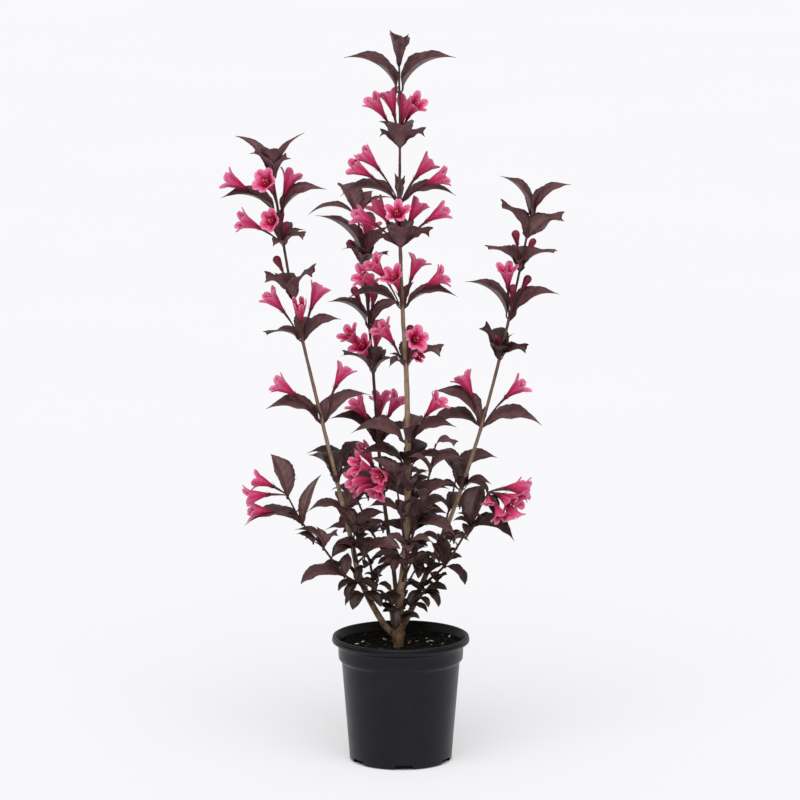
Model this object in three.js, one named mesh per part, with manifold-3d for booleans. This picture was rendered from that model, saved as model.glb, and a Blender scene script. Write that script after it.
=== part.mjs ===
// A weigela with dark burgundy leaves and crimson trumpet flowers, in a nursery pot.
// Millimetres, +Z up, +X to the right and +Y away. The origin is the middle of the pot's flat underside.
// Bearings are degrees round +Z from +X, so 90 points away and 270 to the front.
import * as THREE from "three";
import { mergeVertices } from "three/addons/utils/BufferGeometryUtils.js";
import Module from "manifold-3d";

const wasm = await Module();
wasm.setup();

const clear = 0.3; // air between neighbouring solids
const scrap = 0.5; // mm3 below which a loose crumb of a solid is dropped
const touch = 1e-4; // mm3 from which two solids count as meeting
const sliver = 0.02; // edges shorter than this are closed up where pieces are fused
const weld = 2e-3; // corners nearer than this count as one
const nudge = 0.02; // a step by which fused pieces are parted to clear a sliver
const nudges = 12;
const halvings = 24; // of a stem's length, to find a height on it
const bark = { colour: 0x8c735c, roughness: 0.8 };
const foliage = { colour: 0x4d3036, roughness: 0.55 };

// ---------- pot ----------
const pot = {
  height: 150, wall: 2, floor: 2.6, footRadius: 57.8, footRound: 3, bodyLow: 60.5, bodyTop: 70.2,
  collarRadius: 74.2, collarLow: 119, collarStep: 4, lipLow: 138, lipRise: 6.5, lipSeat: 3,
  rimRadius: 81.6, rimBead: 2.5, ease: 0.9, sides: 26,
  notches: 6, notchWidth: 22, notchHeight: 5.2, notchReach: 16, notchTurn: 273.5,
};
const mix = { top: 135, brim: 139.2, sides: 24, swell: [[0.8, 2.2], [0.4, 0.2]] };

// ---------- leaves, flowers and buds ----------
// A leaf's stations: how far along it they lie and how much of its width they keep.
const leafForm = { stations: [[0.4, 1], [0.75, 0.44]], slim: 0.46, stalk: 0.65, thick: 0.018 };
const leafHang = { arch: 42, fold: 24, roll: 20, sway: 8, twist: 20 };
const bendLimits = { least: 6, steepest: 88 }; // of a midline, in degrees
const flowerForm = {
  stalkSides: 3, lobes: 5, corolla: 31, corollaShare: 0.62, ovary: 13, ovaryShare: 0.22, stalk: 0.9,
  neck: 1.9, notch: 7.4, notchBack: 0.06, lobe: 11.5, throatDepth: 0.45, arch: 12,
};
const budForm = { sides: 4, length: 20, share: 0.7, neck: 1.4, belly: 3.3, bellyBack: 0.35, arch: 10 };
const axil = 1.2; // a leaf roots this far below its joint's middle, a flower as far above
const collar = { sides: 5, height: 4.6, wall: 1.5, seat: 0.75, fit: 0.05 };
const twigForm = { sides: 3, foot: 1.7, tip: 1.1 };

// ---------- stems ----------
// Each stem: its path from the soil, its width at foot and tip, and how early it slims.
const stems = {
  main_stem: {
    path: [
      [-3, 0, 158.3], [-1, 0, 190], [4, 0, 233], [8, 0, 315], [7, 0, 451], [2, 0, 544], [-1, 0, 640],
      [-1, 0, 734], [-2, 0, 834],
    ],
    foot: 12, tip: 2, slim: 1.55, rings: 20,
  },
  left_stem: {
    path: [
      [-4, -1, 146], [-20, -3, 164], [-47, -8, 218], [-61, -15, 280], [-92, -30, 413], [-125, -46, 562],
      [-148, -62, 708],
    ],
    foot: 8.2, tip: 2, slim: 1.3, rings: 17,
  },
  right_stem: {
    path: [
      [-2, -1, 152], [13, 2, 181], [27, 5, 215], [58, 11, 287], [96, 21, 400], [128, 32, 526],
      [155, 43, 653],
    ],
    foot: 7.2, tip: 2, slim: 1.3, rings: 17,
  },
  back_stem: {
    path: [
      [-3, 2, 150], [-6, 14, 200], [-10, 27, 237], [-18, 43, 288], [-27, 62, 373], [-33, 76, 455],
      [-44, 92, 578], [-52, 98, 645],
    ],
    foot: 5.6, tip: 1.9, slim: 0.9, rings: 17,
  },
};
const stemSides = 6;
// The swollen foot that the stems rise from: its radius at shares of its height.
const burl = {
  x: -3, low: 135.3, top: 158, sides: 10,
  rings: [[7, 0], [6.4, 0.25], [7.3, 0.5], [8.4, 0.74], [6.6, 1]],
};

// ---------- foliage round the stems ----------
// A whorl sits at a height on its stem. Its leaves, flowers and buds are rows of bearing, reach and
// lift of the tip from the stem, and sometimes a fourth number: a leaf's twist or a flower's nod.
const whorls = {
  main_stem: {
    main_whorl_01: { z: 286, leaves: [[345, 50, 14], [20, 46, 2], [205, 26, 24], [95, 52, 16]] },
    main_whorl_02: {
      z: 326, leaves: [[30, 32, 12], [330, 30, 26], [172, 46, 18], [112, 50, 22], [275, 42, 16]],
    },
    main_whorl_03: { z: 356, leaves: [[197, 62, 14], [343, 50, 10], [64, 52, 18], [262, 34, 20]] },
    main_whorl_04: {
      z: 384, leaves: [[187, 67, 12], [352, 58, 19], [72, 50, 22], [300, 34, 26]],
      flowers: [[343, 42, 52]],
    },
    main_whorl_05: {
      z: 476, leaves: [[342, 46, 19, 70], [237, 36, 2], [75, 58, 14], [190, 20, 14]],
      flowers: [[297, 34, 34, 44], [198, 33, 46], [296, 38, 12, 30]], buds: [[66, 15, 43]],
    },
    main_whorl_06: {
      z: 544, leaves: [[355, 64, 14], [190, 66, 12]],
      flowers: [[16, 22, 57], [351, 52, 38], [203, 41, 55], [206, 59, 42], [236, 24, 41, 26]],
    },
    main_whorl_07: {
      z: 617, leaves: [[275, 46, 26], [27, 40, 14, 75], [141, 35, 6, -60], [98, 56, 18]],
      flowers: [[259, 25, 44, 46], [159, 33, 47], [193, 54, 37], [18, 25, 48], [350, 55, 42]],
    },
    main_whorl_08: {
      z: 669, leaves: [[185, 70, 7], [5, 66, 6]],
      flowers: [[190, 45, 57], [196, 59, 42], [12, 38, 45], [352, 56, 29]],
    },
    main_whorl_09: {
      z: 734, leaves: [[276, 44, 28], [35, 35, 14, 70], [139, 30, 13, -60], [158, 26, 28], [92, 52, 16]],
      flowers: [[199, 36, 54], [161, 15, 61], [316, 32, 52, 38], [72, 21, 50]],
    },
    main_whorl_10: { z: 797, leaves: [[187, 65, 41], [353, 66, 41]] },
    main_tip: { z: 829, leaves: [[232, 18, 42], [308, 18, 37]] },
  },
  left_stem: {
    left_whorl_01: { z: 341, leaves: [[104, 40, 26], [166, 34, 30, 60], [340, 24, 19], [268, 32, 8]] },
    left_whorl_02: {
      z: 413, leaves: [[187, 66, 17], [8, 58, 31]],
      flowers: [[191, 55, 47], [15, 30, 63]],
    },
    left_whorl_03: {
      z: 512, leaves: [[188, 43, 6, 70], [10, 46, 23], [88, 46, 20]],
      flowers: [[194, 42, 53], [20, 23, 60], [262, 20, 46]],
    },
    left_whorl_04: {
      z: 562, leaves: [[312, 42, 36, 60], [190, 34, 26, -60], [118, 50, 20]],
      buds: [[164, 22, 46]],
    },
    left_whorl_05: {
      z: 626, leaves: [[326, 32, 12, 70], [249, 32, 1], [95, 50, 16], [15, 26, 16]],
      flowers: [[195, 53, 28], [236, 31, 29, 46]], buds: [[286, 19, 26], [100, 24, 34]],
    },
    left_whorl_06: {
      z: 660, leaves: [[185, 67, 21], [4, 55, 30]],
      flowers: [[187, 62, 42], [235, 32, 43, 40], [37, 20, 46]],
    },
    left_tip: {
      z: 703, leaves: [[264, 30, 38], [215, 28, 33, 60], [322, 23, 27, -60], [160, 46, 48], [21, 39, 52]],
    },
  },
  right_stem: {
    right_whorl_02: { z: 325, leaves: [[97, 36, 26], [189, 37, -4], [339, 38, 8], [280, 26, 18]] },
    right_whorl_03: {
      z: 400, leaves: [[174, 59, 40], [355, 71, 1], [180, 66, -5]],
      flowers: [[162, 26, 57], [351, 50, 50]],
    },
    right_whorl_04: {
      z: 479, leaves: [[93, 44, 30], [337, 36, 14, 70], [148, 23, 38, -50], [262, 40, 18]],
      buds: [[233, 8, 27]],
    },
    right_whorl_05: {
      z: 526, leaves: [[187, 53, 45], [6, 60, 28]],
      flowers: [[257, 16, 62]], buds: [[288, 15, 40], [14, 25, 48]],
    },
    right_whorl_06: {
      z: 584, leaves: [[199, 42, 25, 50], [339, 44, 21, -60], [262, 30, 12], [92, 46, 20]],
      buds: [[236, 12, 45], [24, 19, 33]],
    },
    right_whorl_07: { z: 623, leaves: [[196, 34, 37], [11, 44, 20]] },
    right_tip: { z: 648, leaves: [[192, 38, 47], [7, 47, 35], [303, 24, 33], [112, 30, 34]] },
  },
  back_stem: {
    back_whorl_03: { z: 315, leaves: [[12, 54, 20], [170, 56, 18], [95, 60, 14]], flowers: [[212, 30, 55]] },
    back_whorl_04: {
      z: 373, leaves: [[186, 58, 29], [14, 50, 9], [80, 40, 26], [100, 62, 10]],
      flowers: [[203, 31, 49], [347, 27, 54], [84, 34, 48]], buds: [[287, 8, 50]],
    },
    back_whorl_05: {
      z: 455, leaves: [[201, 39, 22, 60], [275, 36, 36], [333, 35, 18, -60], [88, 60, 14]],
      flowers: [[217, 40, 50], [242, 34, 38], [80, 36, 46]],
    },
    back_whorl_06: {
      z: 509, leaves: [[187, 50, 30], [10, 42, 27]],
      flowers: [[96, 26, 50]], buds: [[207, 22, 46], [54, 12, 38]],
    },
    back_whorl_07: {
      z: 580, leaves: [[233, 35, 25, 60], [337, 32, 15, -60], [92, 60, 16], [268, 30, 16]],
      flowers: [[76, 30, 48]], buds: [[209, 21, 30], [42, 12, 30]],
    },
    back_tip: { z: 640, leaves: [[188, 59, 2], [118, 40, 32], [317, 29, -8], [56, 34, 26], [8, 44, 20]] },
  },
};

// ---------- side shoots ----------
// A shoot leaves its stem at a height and runs along its path. Each place of the path is a joint,
// with rows of leaves and flowers like a whorl's.
const shoots = {
  low_left_shoot: {
    from: ["left_stem", 212], path: [[-66, -26, 228], [-91, -40, 264], [-115, -52, 296], [-132, -58, 329]],
    joints: [
      { leaves: [[183, 52, -9], [70, 12, 26]] },
      { leaves: [[120, 16, 24], [20, 18, 18, 60], [190, 34, 24]] },
      { leaves: [[188, 68, 0], [48, 32, 54]], flowers: [[190, 64, 16]] },
      { leaves: [[140, 26, 48], [30, 12, 22]], flowers: [[172, 41, 18], [190, 50, -2]] },
    ],
  },
  low_right_shoot: {
    from: ["right_stem", 207], path: [[52, -22, 239], [67, -34, 265], [81, -46, 292], [102, -54, 332]],
    joints: [
      { leaves: [[150, 18, 26], [335, 26, -20]] },
      { leaves: [] },
      { leaves: [[0, 52, -18], [200, 22, 8], [262, 30, -10], [60, 24, 44]] },
      {
        leaves: [[165, 22, 12], [300, 14, -26]],
        flowers: [[352, 50, 4], [330, 46, -8], [300, 32, -28], [270, 22, -12, 40], [20, 42, 2]],
      },
    ],
  },
  flowering_shoot: {
    from: ["main_stem", 250], path: [[0, -16, 300], [-5, -22, 334]],
    joints: [
      { leaves: [[200, 40, 12], [325, 30, 20]] },
      {
        leaves: [[168, 34, 34], [262, 30, 24], [340, 26, 26]],
        flowers: [[212, 60, 32], [229, 36, 14, 44], [200, 54, 0], [230, 40, -8, 40]],
      },
    ],
  },
  inner_right_shoot: {
    from: ["main_stem", 236], path: [[18, -20, 289], [26, -26, 318], [34, -28, 352], [41, -28, 386]],
    joints: [
      { leaves: [[350, 30, 20], [215, 24, 14]] },
      { leaves: [[20, 40, 18], [250, 30, 16]] },
      { leaves: [[352, 40, 18], [210, 30, 22]] },
      { leaves: [[340, 26, 2, 60]] },
    ],
  },
  inner_left_shoot: {
    from: ["left_stem", 186], path: [[-36, 10, 233], [-50, 12, 266], [-64, 14, 296]],
    joints: [
      { leaves: [[350, 36, 14], [255, 26, 2]] },
      { leaves: [[182, 40, 10], [5, 38, 16], [80, 30, 14]] },
      { leaves: [[188, 48, 2], [320, 22, 12], [60, 30, 26], [115, 34, 20]] },
    ],
  },
  mid_left_shoot: {
    from: ["left_stem", 238], path: [[-56, -30, 264], [-54, -50, 286]],
    joints: [
      { leaves: [[210, 30, -12], [330, 30, 4]] },
      { leaves: [[240, 40, 14], [5, 38, 22], [140, 34, 26]] },
    ],
  },
  mid_front_shoot: {
    from: ["main_stem", 212], path: [[6, -28, 241], [8, -54, 266]],
    joints: [
      { leaves: [[180, 26, 4], [350, 26, 2]] },
      { leaves: [[215, 36, 14], [325, 36, 12], [275, 34, 2]] },
    ],
  },
  back_left_shoot: {
    from: ["back_stem", 226], path: [[-34, 58, 262], [-52, 86, 296], [-66, 104, 334]],
    joints: [
      { leaves: [[190, 36, 2], [70, 34, -2]] },
      { leaves: [[140, 42, 8], [10, 36, 10]] },
      { leaves: [[175, 48, 16], [60, 50, 20], [290, 24, 22]] },
    ],
  },
  back_right_shoot: {
    from: ["right_stem", 224], path: [[46, 34, 256], [58, 64, 290], [68, 88, 330]],
    joints: [
      { leaves: [[10, 36, 0], [160, 24, 6]] },
      { leaves: [[60, 44, 6], [185, 34, 12]] },
      { leaves: [[5, 48, 18], [130, 46, 18], [250, 26, 20]] },
    ],
  },
  back_low_shoot: {
    from: ["back_stem", 198], path: [[4, 46, 226], [10, 78, 256], [14, 98, 292]],
    joints: [
      { leaves: [[170, 32, 0], [5, 34, 2]] },
      { leaves: [[150, 34, 8], [20, 40, 6]] },
      { leaves: [[165, 44, 14], [15, 46, 14], [90, 46, 6]] },
    ],
  },
  left_sprig: {
    from: ["left_stem", 184], path: [[-44, -20, 206]],
    joints: [{ leaves: [[195, 22, -14], [235, 22, -16], [330, 24, -14]] }],
  },
  right_sprig: {
    from: ["right_stem", 186], path: [[29, -14, 206]],
    joints: [{ leaves: [[350, 26, 4], [330, 18, -16], [200, 22, 10], [265, 20, 4]] }],
  },
  foot_sprig: {
    from: ["main_stem", 164], path: [[-8, -14, 176]],
    joints: [{ leaves: [[165, 20, 14], [330, 16, 12], [250, 18, 10]] }],
  },
  side_sprig: {
    from: ["main_stem", 196], path: [[17, -14, 232]],
    joints: [{ leaves: [[10, 24, 10], [200, 16, 14], [300, 22, 0]] }],
  },
};

// ---------- seeded draw ----------
const drawSeed = 7919;
const draw = { state: 1 };
function reseed(number) {
  draw.state = (drawSeed + Math.imul(number, 2654435761)) >>> 0;
}
function spread(low, high) {
  draw.state = (Math.imul(draw.state, 1664525) + 1013904223) >>> 0;
  return low + ((high - low) * draw.state) / 4294967296;
}

// ---------- solids ----------
const radians = (degrees) => (degrees * Math.PI) / 180;
const point = (x, y, z) => new THREE.Vector3(x, y, z);

function toSolid(geometry) {
  geometry.deleteAttribute("normal");
  geometry.deleteAttribute("uv");
  const merged = mergeVertices(geometry, 1e-4);
  const vertProperties = new Float32Array(merged.attributes.position.array);
  const triVerts = new Uint32Array(merged.index.array);
  return new wasm.Manifold(new wasm.Mesh({ numProp: 3, vertProperties, triVerts }));
}

function toGeometry(solid) {
  const mesh = solid.getMesh();
  const geometry = new THREE.BufferGeometry();
  geometry.setAttribute("position", new THREE.BufferAttribute(new Float32Array(mesh.vertProperties), 3));
  geometry.setIndex(new THREE.BufferAttribute(new Uint32Array(mesh.triVerts), 1));
  return geometry;
}

// Triangles between two neighbouring rings, which may have different counts: m + n of them. Between
// equal counts their slants alternate, so that the two faces of a twisted leaf bend alike.
function band(first, second, countFirst, countSecond) {
  const faces = [];
  let [i, j] = [0, 0];
  while (i < countFirst || j < countSecond) {
    const [a, b] = [first + (i % countFirst), second + (j % countSecond)];
    const lead = (i + 1) / countFirst - (j + 1) / countSecond;
    if (lead < 0 || (lead === 0 && i % 2 === 0)) faces.push([a, first + (++i % countFirst), b]);
    else faces.push([a, second + (++j % countSecond), b]);
  }
  return faces;
}

// A closed skin over a row of rings. Its first end is capped flat, its last end closes on a point.
function skin(rings, end) {
  const points = [...rings.flat(), end];
  const faces = [];
  for (let i = 1; i + 1 < rings[0].length; i++) faces.push([0, i + 1, i]);
  let start = 0;
  for (let k = 0; k + 1 < rings.length; k++) {
    faces.push(...band(start, start + rings[k].length, rings[k].length, rings[k + 1].length));
    start += rings[k].length;
  }
  const last = rings[rings.length - 1].length;
  for (let i = 0; i < last; i++) faces.push([start + i, start + ((i + 1) % last), points.length - 1]);
  const geometry = new THREE.BufferGeometry().setFromPoints(points);
  geometry.setIndex(faces.flat());
  return toSolid(geometry);
}

function lathe(profile, sides) {
  const outline = profile.map(([radius, height]) => new THREE.Vector2(radius, height));
  return toSolid(new THREE.LatheGeometry(outline, sides).rotateX(Math.PI / 2));
}

// A round bar along a curve, its radius given by a function of the way along.
function bar(curve, radiusAt, sides, steps) {
  const geometry = new THREE.CylinderGeometry(1, 1, 1, sides, steps);
  const place = geometry.attributes.position;
  for (let i = 0; i < place.count; i++) {
    const along = place.getY(i) + 0.5;
    const centre = curve.getPoint(along);
    const { side, up } = crossAxes(curve.getTangent(along));
    const radius = radiusAt(along);
    centre.addScaledVector(side, place.getZ(i) * radius).addScaledVector(up, place.getX(i) * radius);
    place.setXYZ(i, centre.x, centre.y, centre.z);
  }
  return toSolid(geometry);
}

function crossAxes(direction) {
  const side = point(0, 1, 0).cross(direction).normalize();
  return { side, up: direction.clone().cross(side) };
}

// ---------- leaf, flower and bud ----------
// The midline that an organ hangs on: an arc that leaves its root steeply and falls towards its tip.
function midline(root, bearing, reach, lift, arch) {
  const slope = (Math.atan2(lift, reach) * 180) / Math.PI;
  const bend = radians(Math.min(arch, Math.max(bendLimits.least, bendLimits.steepest - slope)));
  const length = (Math.hypot(reach, lift) * bend) / Math.sin(bend);
  const rise = radians(slope) + bend;
  const outward = point(Math.cos(radians(bearing)), Math.sin(radians(bearing)), 0);
  const sideways = point(-outward.y, outward.x, 0);
  const at = (along) => {
    const angle = rise - 2 * bend * along;
    const across = (length * (Math.sin(rise) - Math.sin(angle))) / (2 * bend);
    const above = (length * (Math.cos(angle) - Math.cos(rise))) / (2 * bend);
    const centre = root.clone().addScaledVector(outward, across).add(point(0, 0, above));
    const forward = outward.clone().multiplyScalar(Math.cos(angle)).add(point(0, 0, Math.sin(angle)));
    return { centre, forward, sideways, upward: forward.clone().cross(sideways) };
  };
  return { at, length };
}

function leafSolid(leaf, grow = 0) {
  const line = midline(leaf.root, leaf.bearing, leaf.reach, leaf.lift, leafHang.arch);
  const halfWidth = (line.length * leafForm.slim) / 2;
  const halfThick = (line.length * leafForm.thick) / 2 + grow;
  const ring = (along, half) => {
    const { centre, sideways, upward } = line.at(along);
    const turn = radians(leaf.roll + leaf.twist * along * along);
    const side = sideways.clone().multiplyScalar(Math.cos(turn)).addScaledVector(upward, Math.sin(turn));
    const up = upward.clone().multiplyScalar(Math.cos(turn)).addScaledVector(sideways, -Math.sin(turn));
    const edge = (half + grow) * Math.cos(radians(leaf.fold));
    const raised = (half + grow) * Math.sin(radians(leaf.fold));
    return [
      centre.clone().addScaledVector(side, edge).addScaledVector(up, raised),
      centre.clone().addScaledVector(up, halfThick),
      centre.clone().addScaledVector(side, -edge).addScaledVector(up, raised),
      centre.clone().addScaledVector(up, -halfThick),
    ];
  };
  const stalk = roundRing(line, 0, leafForm.stalk + grow, 3);
  const rings = [stalk, ...leafForm.stations.map(([along, share]) => ring(along, halfWidth * share))];
  return skin(rings, line.at(1).centre);
}

// A ring round a midline. With a lobe, every second corner stands out and the others lie back.
function roundRing(line, along, radius, sides, lobe = 0, back = 0) {
  const ring = [];
  for (let i = 0; i < sides; i++) {
    const tooth = i % 2 ? lobe : 0;
    const { centre, sideways, upward } = line.at(along - (i % 2 ? 0 : back));
    const angle = (2 * Math.PI * i) / sides;
    centre.addScaledVector(sideways, Math.cos(angle) * (radius + tooth));
    ring.push(centre.addScaledVector(upward, Math.sin(angle) * (radius + tooth)));
  }
  return ring;
}

function flowerSolid(flower, grow = 0) {
  const form = flowerForm;
  const line = midline(flower.root, flower.bearing, flower.reach, flower.lift, flower.nod ?? form.arch);
  const corolla = Math.min(form.corolla / line.length, form.corollaShare);
  const ovary = Math.min(form.ovary / line.length, form.ovaryShare);
  const neck = 1 - corolla - ovary / 2;
  const rings = [
    roundRing(line, 0, form.stalk + grow, form.stalkSides),
    roundRing(line, neck, form.neck + grow, form.stalkSides),
    roundRing(line, 1, form.notch + grow, 2 * form.lobes, form.lobe - form.notch, form.notchBack),
  ];
  return skin(rings, line.at(1 - corolla * form.throatDepth).centre);
}

function budSolid(bud, grow = 0) {
  const line = midline(bud.root, bud.bearing, bud.reach, bud.lift, budForm.arch);
  const share = Math.min(budForm.length / line.length, budForm.share);
  const { sides } = budForm;
  const rings = [
    roundRing(line, 0, flowerForm.stalk + grow, sides),
    roundRing(line, 1 - share, budForm.neck + grow, sides),
    roundRing(line, 1 - share * budForm.bellyBack, budForm.belly + grow, sides),
  ];
  return skin(rings, line.at(1).centre);
}

// ---------- limbs ----------
function curveOf({ from, path }) {
  const places = path.map((place) => point(...place));
  if (from) places.unshift(stemAt(stems[from[0]], from[1]).centre);
  return new THREE.CatmullRomCurve3(places, false, "centripetal");
}

function stemRadius(stem, along) {
  return (stem.tip + (stem.foot - stem.tip) * (1 - along) ** stem.slim) / 2;
}

function stemSolid(stem, grow = 0) {
  return bar(curveOf(stem), (along) => stemRadius(stem, along) + grow, stemSides, stem.rings);
}

function burlSolid(grow = 0) {
  const height = burl.top - burl.low;
  const profile = burl.rings.map(([radius, share]) => [radius + grow, burl.low + share * (height + grow)]);
  return lathe([[0, burl.low], ...profile, [0, burl.top + grow]], burl.sides).translate([burl.x, 0, 0]);
}

// The place on a stem at a height.
function stemAt(stem, z) {
  const curve = curveOf(stem);
  let [low, high] = [0, 1];
  for (let i = 0; i < halvings; i++) {
    const middle = (low + high) / 2;
    if (curve.getPoint(middle).z < z) low = middle;
    else high = middle;
  }
  return { centre: curve.getPoint(low), forward: curve.getTangent(low), radius: stemRadius(stem, low) };
}

// The ring of bark that a whorl's stalks stand on, clear round its stem.
function collarSolid(centre, forward, radius) {
  const inner = (radius + clear + collar.fit) / Math.cos(Math.PI / collar.sides);
  const corners = (size) =>
    Array.from({ length: collar.sides }, (_, i) => {
      const angle = (2 * Math.PI * i) / collar.sides;
      return new THREE.Vector2(size * Math.cos(angle), size * Math.sin(angle));
    });
  const shape = new THREE.Shape(corners(inner + collar.wall));
  shape.holes.push(new THREE.Path(corners(inner).reverse()));
  const geometry = new THREE.ExtrudeGeometry(shape, { depth: collar.height, bevelEnabled: false });
  geometry.translate(0, 0, -collar.height / 2);
  geometry.applyQuaternion(new THREE.Quaternion().setFromUnitVectors(point(0, 0, 1), forward));
  geometry.translate(centre.x, centre.y, centre.z);
  return toSolid(geometry);
}

// ---------- placing, so that no two nodes meet ----------
const placed = []; // { solid, box, node }

function boxesMeet(a, b) {
  return [0, 1, 2].every((axis) => a.min[axis] < b.max[axis] && b.min[axis] < a.max[axis]);
}

function meets(solid, node) {
  const box = solid.boundingBox();
  const near = placed.filter((each) => each.node !== node && boxesMeet(box, each.box));
  return near.some((each) => solid.intersect(each.solid).volume() > touch);
}

function place(solid, node) {
  placed.push({ solid, box: solid.boundingBox(), node });
}

// The leaves, flowers and buds of a joint. One that would touch another node is skipped.
// Roots stand in the wall of a collar, so they start a little out from the stem's middle.
function organs(node, rows, centre, start, members) {
  const kinds = [
    { list: rows.leaves, make: leafSolid, above: -axil },
    { list: rows.flowers, make: flowerSolid, above: axil },
    { list: rows.buds, make: budSolid, above: axil },
  ];
  for (const { list, make, above } of kinds) {
    for (const [bearing, reach, lift, extra] of list ?? []) {
      const angle = radians(bearing);
      const root = centre.clone().add(point(Math.cos(angle) * start, Math.sin(angle) * start, above));
      const organ = { root, bearing, reach: Math.max(reach - start, 1), lift };
      if (make === leafSolid) {
        organ.fold = leafHang.fold + spread(-leafHang.sway, leafHang.sway);
        organ.roll = Math.cos(angle) * leafHang.roll + spread(-leafHang.sway, leafHang.sway);
        organ.twist = extra ?? spread(-leafHang.twist, leafHang.twist);
      } else organ.nod = extra;
      if (!meets(make(organ, clear), node)) members.push(make(organ));
    }
  }
}

function biggest(solid) {
  const bodies = solid.decompose().filter((body) => body.volume() > scrap);
  return bodies.reduce((best, body) => (body.volume() > best.volume() ? body : best));
}

// Whether the skin stays closed when corners nearer than the weld are made one.
function staysClosed(solid) {
  const corners = mergeVertices(toGeometry(solid), weld).index.array;
  const edges = new Set();
  const count = corners.length;
  for (let i = 0; i < count; i++) {
    const next = i % 3 === 2 ? i - 2 : i + 1;
    edges.add(`${corners[i]} ${corners[next]}`);
  }
  return edges.size === count && [...edges].every((edge) => edges.has(edge.split(" ").reverse().join(" ")));
}

// Fuses the pieces of a node. Where two of them graze and leave a sliver, they are nudged apart a hair,
// each of four neighbours by its own step.
function join(members) {
  for (let step = 0; step < nudges; step++) {
    const shifted = members.map((member, i) => member.translate([0, 0, step * nudge * (i % 4)]));
    const whole = biggest(shifted.reduce((sum, member) => sum.add(member)).simplify(sliver));
    if (staysClosed(whole)) return whole;
  }
  throw new Error("a fused node keeps a sliver");
}

// ---------- nodes ----------
const group = new THREE.Group();

function addNode(name, solid, { colour, roughness, metalness = 0 }) {
  const material = new THREE.MeshStandardMaterial({ color: colour, roughness, metalness });
  const mesh = new THREE.Mesh(toGeometry(solid), material);
  mesh.name = name;
  group.add(mesh);
}

// Places on an arc about (radius, height), from one angle to another, -90 being straight down.
function arc([radius, height], across, up, from, to, count) {
  return Array.from({ length: count }, (_, i) => {
    const angle = radians(from + ((to - from) * i) / (count - 1));
    return [radius + across * Math.cos(angle), height + up * Math.sin(angle)];
  });
}

// From the underside, up the wall and its collar, out over the flared lip and its bead, and down inside.
function potSolid() {
  const inner = (radius) => radius - pot.wall;
  const { footRadius, footRound, bodyLow, bodyTop, collarRadius, lipLow, rimBead, ease } = pot;
  const beadRadius = pot.rimRadius - rimBead;
  const collarTop = pot.collarLow + pot.collarStep;
  const outside = [
    ...arc([footRadius, footRound], bodyLow - footRadius, footRound, -90, 0, 3),
    [bodyTop, pot.collarLow], [collarRadius, collarTop], [collarRadius, lipLow],
    [pot.rimRadius, lipLow + pot.lipRise],
    ...arc([beadRadius, pot.height - rimBead], rimBead, rimBead, 0, 90, 3),
  ];
  const inside = [
    [inner(beadRadius), pot.height - ease], [inner(collarRadius), lipLow + pot.lipSeat],
    [inner(collarRadius), collarTop + ease], [inner(bodyTop), pot.collarLow + ease],
    [inner(bodyLow), footRound],
  ];
  const body = lathe([[0, 0], ...outside, ...inside, [0, pot.floor]], pot.sides);
  const notchBox = new THREE.BoxGeometry(pot.notchReach, pot.notchWidth, 2 * pot.notchHeight);
  const notch = toSolid(notchBox.translate(bodyLow, 0, 0));
  const turns = Array.from({ length: pot.notches }, (_, i) => pot.notchTurn + (360 / pot.notches) * i);
  return turns.reduce((left, turn) => left.subtract(notch.rotate([0, 0, turn])), body);
}

// The potting mix fills the pot: clear of its floor and of the flats of its wall.
function mixSolid() {
  const flats = pot.collarRadius * (1 - Math.cos(Math.PI / pot.sides));
  const inner = (radius) => radius - pot.wall - clear - flats;
  const low = pot.footRound + clear;
  const shoulder = pot.collarLow + pot.ease + clear;
  const brim = inner(pot.collarRadius);
  const crown = mix.swell.map(([share, above]) => [brim * share, mix.top + above]);
  const profile = [
    [0, pot.floor + clear], [inner(pot.bodyLow), low], [inner(pot.bodyTop), shoulder],
    [brim, shoulder + pot.collarStep], [brim, mix.brim], ...crown, [0, mix.top],
  ];
  return lathe(profile, mix.sides);
}

addNode("pot", potSolid(), { colour: 0x2d2d32, roughness: 0.4 });
addNode("potting_mix", mixSolid(), { colour: 0x1e1812, roughness: 1 });

const base = burlSolid();
addNode("stem_base", base, bark);
place(burlSolid(clear), "stem_base");
let taken = burlSolid(clear);
for (const [name, stem] of Object.entries(stems)) {
  const solid = biggest(stemSolid(stem).subtract(taken));
  addNode(name, solid, bark);
  taken = taken.add(stemSolid(stem, clear));
  place(stemSolid(stem), name);
}

function twigSolid(shoot) {
  const radiusAt = (along) => twigForm.foot + (twigForm.tip - twigForm.foot) * along;
  return biggest(bar(curveOf(shoot), radiusAt, twigForm.sides, shoot.path.length + 2).subtract(taken));
}
for (const [name, shoot] of Object.entries(shoots)) place(twigSolid(shoot), name);

let count = 0;
for (const [stemName, list] of Object.entries(whorls)) {
  for (const [name, whorl] of Object.entries(list)) {
    reseed(++count);
    const { centre, forward, radius } = stemAt(stems[stemName], whorl.z);
    const members = [collarSolid(centre, forward, radius)];
    organs(name, whorl, centre, radius + clear + collar.wall * collar.seat, members);
    const solid = join(members);
    addNode(name, solid, foliage);
    place(solid, name);
  }
}

for (const [name, shoot] of Object.entries(shoots)) {
  reseed(++count);
  const curve = curveOf(shoot);
  const members = [twigSolid(shoot)];
  shoot.joints.forEach((joint, i) => {
    organs(name, joint, curve.getPoint((i + 1) / shoot.path.length), 0, members);
  });
  const solid = join(members);
  addNode(name, solid, foliage);
  place(solid, name);
}

export default group;
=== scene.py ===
# A weigela with dark burgundy leaves and crimson trumpet flowers, in a nursery pot.
# Sizes are millimetres and angles degrees, in the part's own frame: +Z up, +X to the right and +Y away.
# A bearing goes round +Z from +X, so 90 points away and 270 to the front.
import math
import bmesh
import bpy
import numpy as np
from mathutils import Matrix, Vector, noise as lumps


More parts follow.
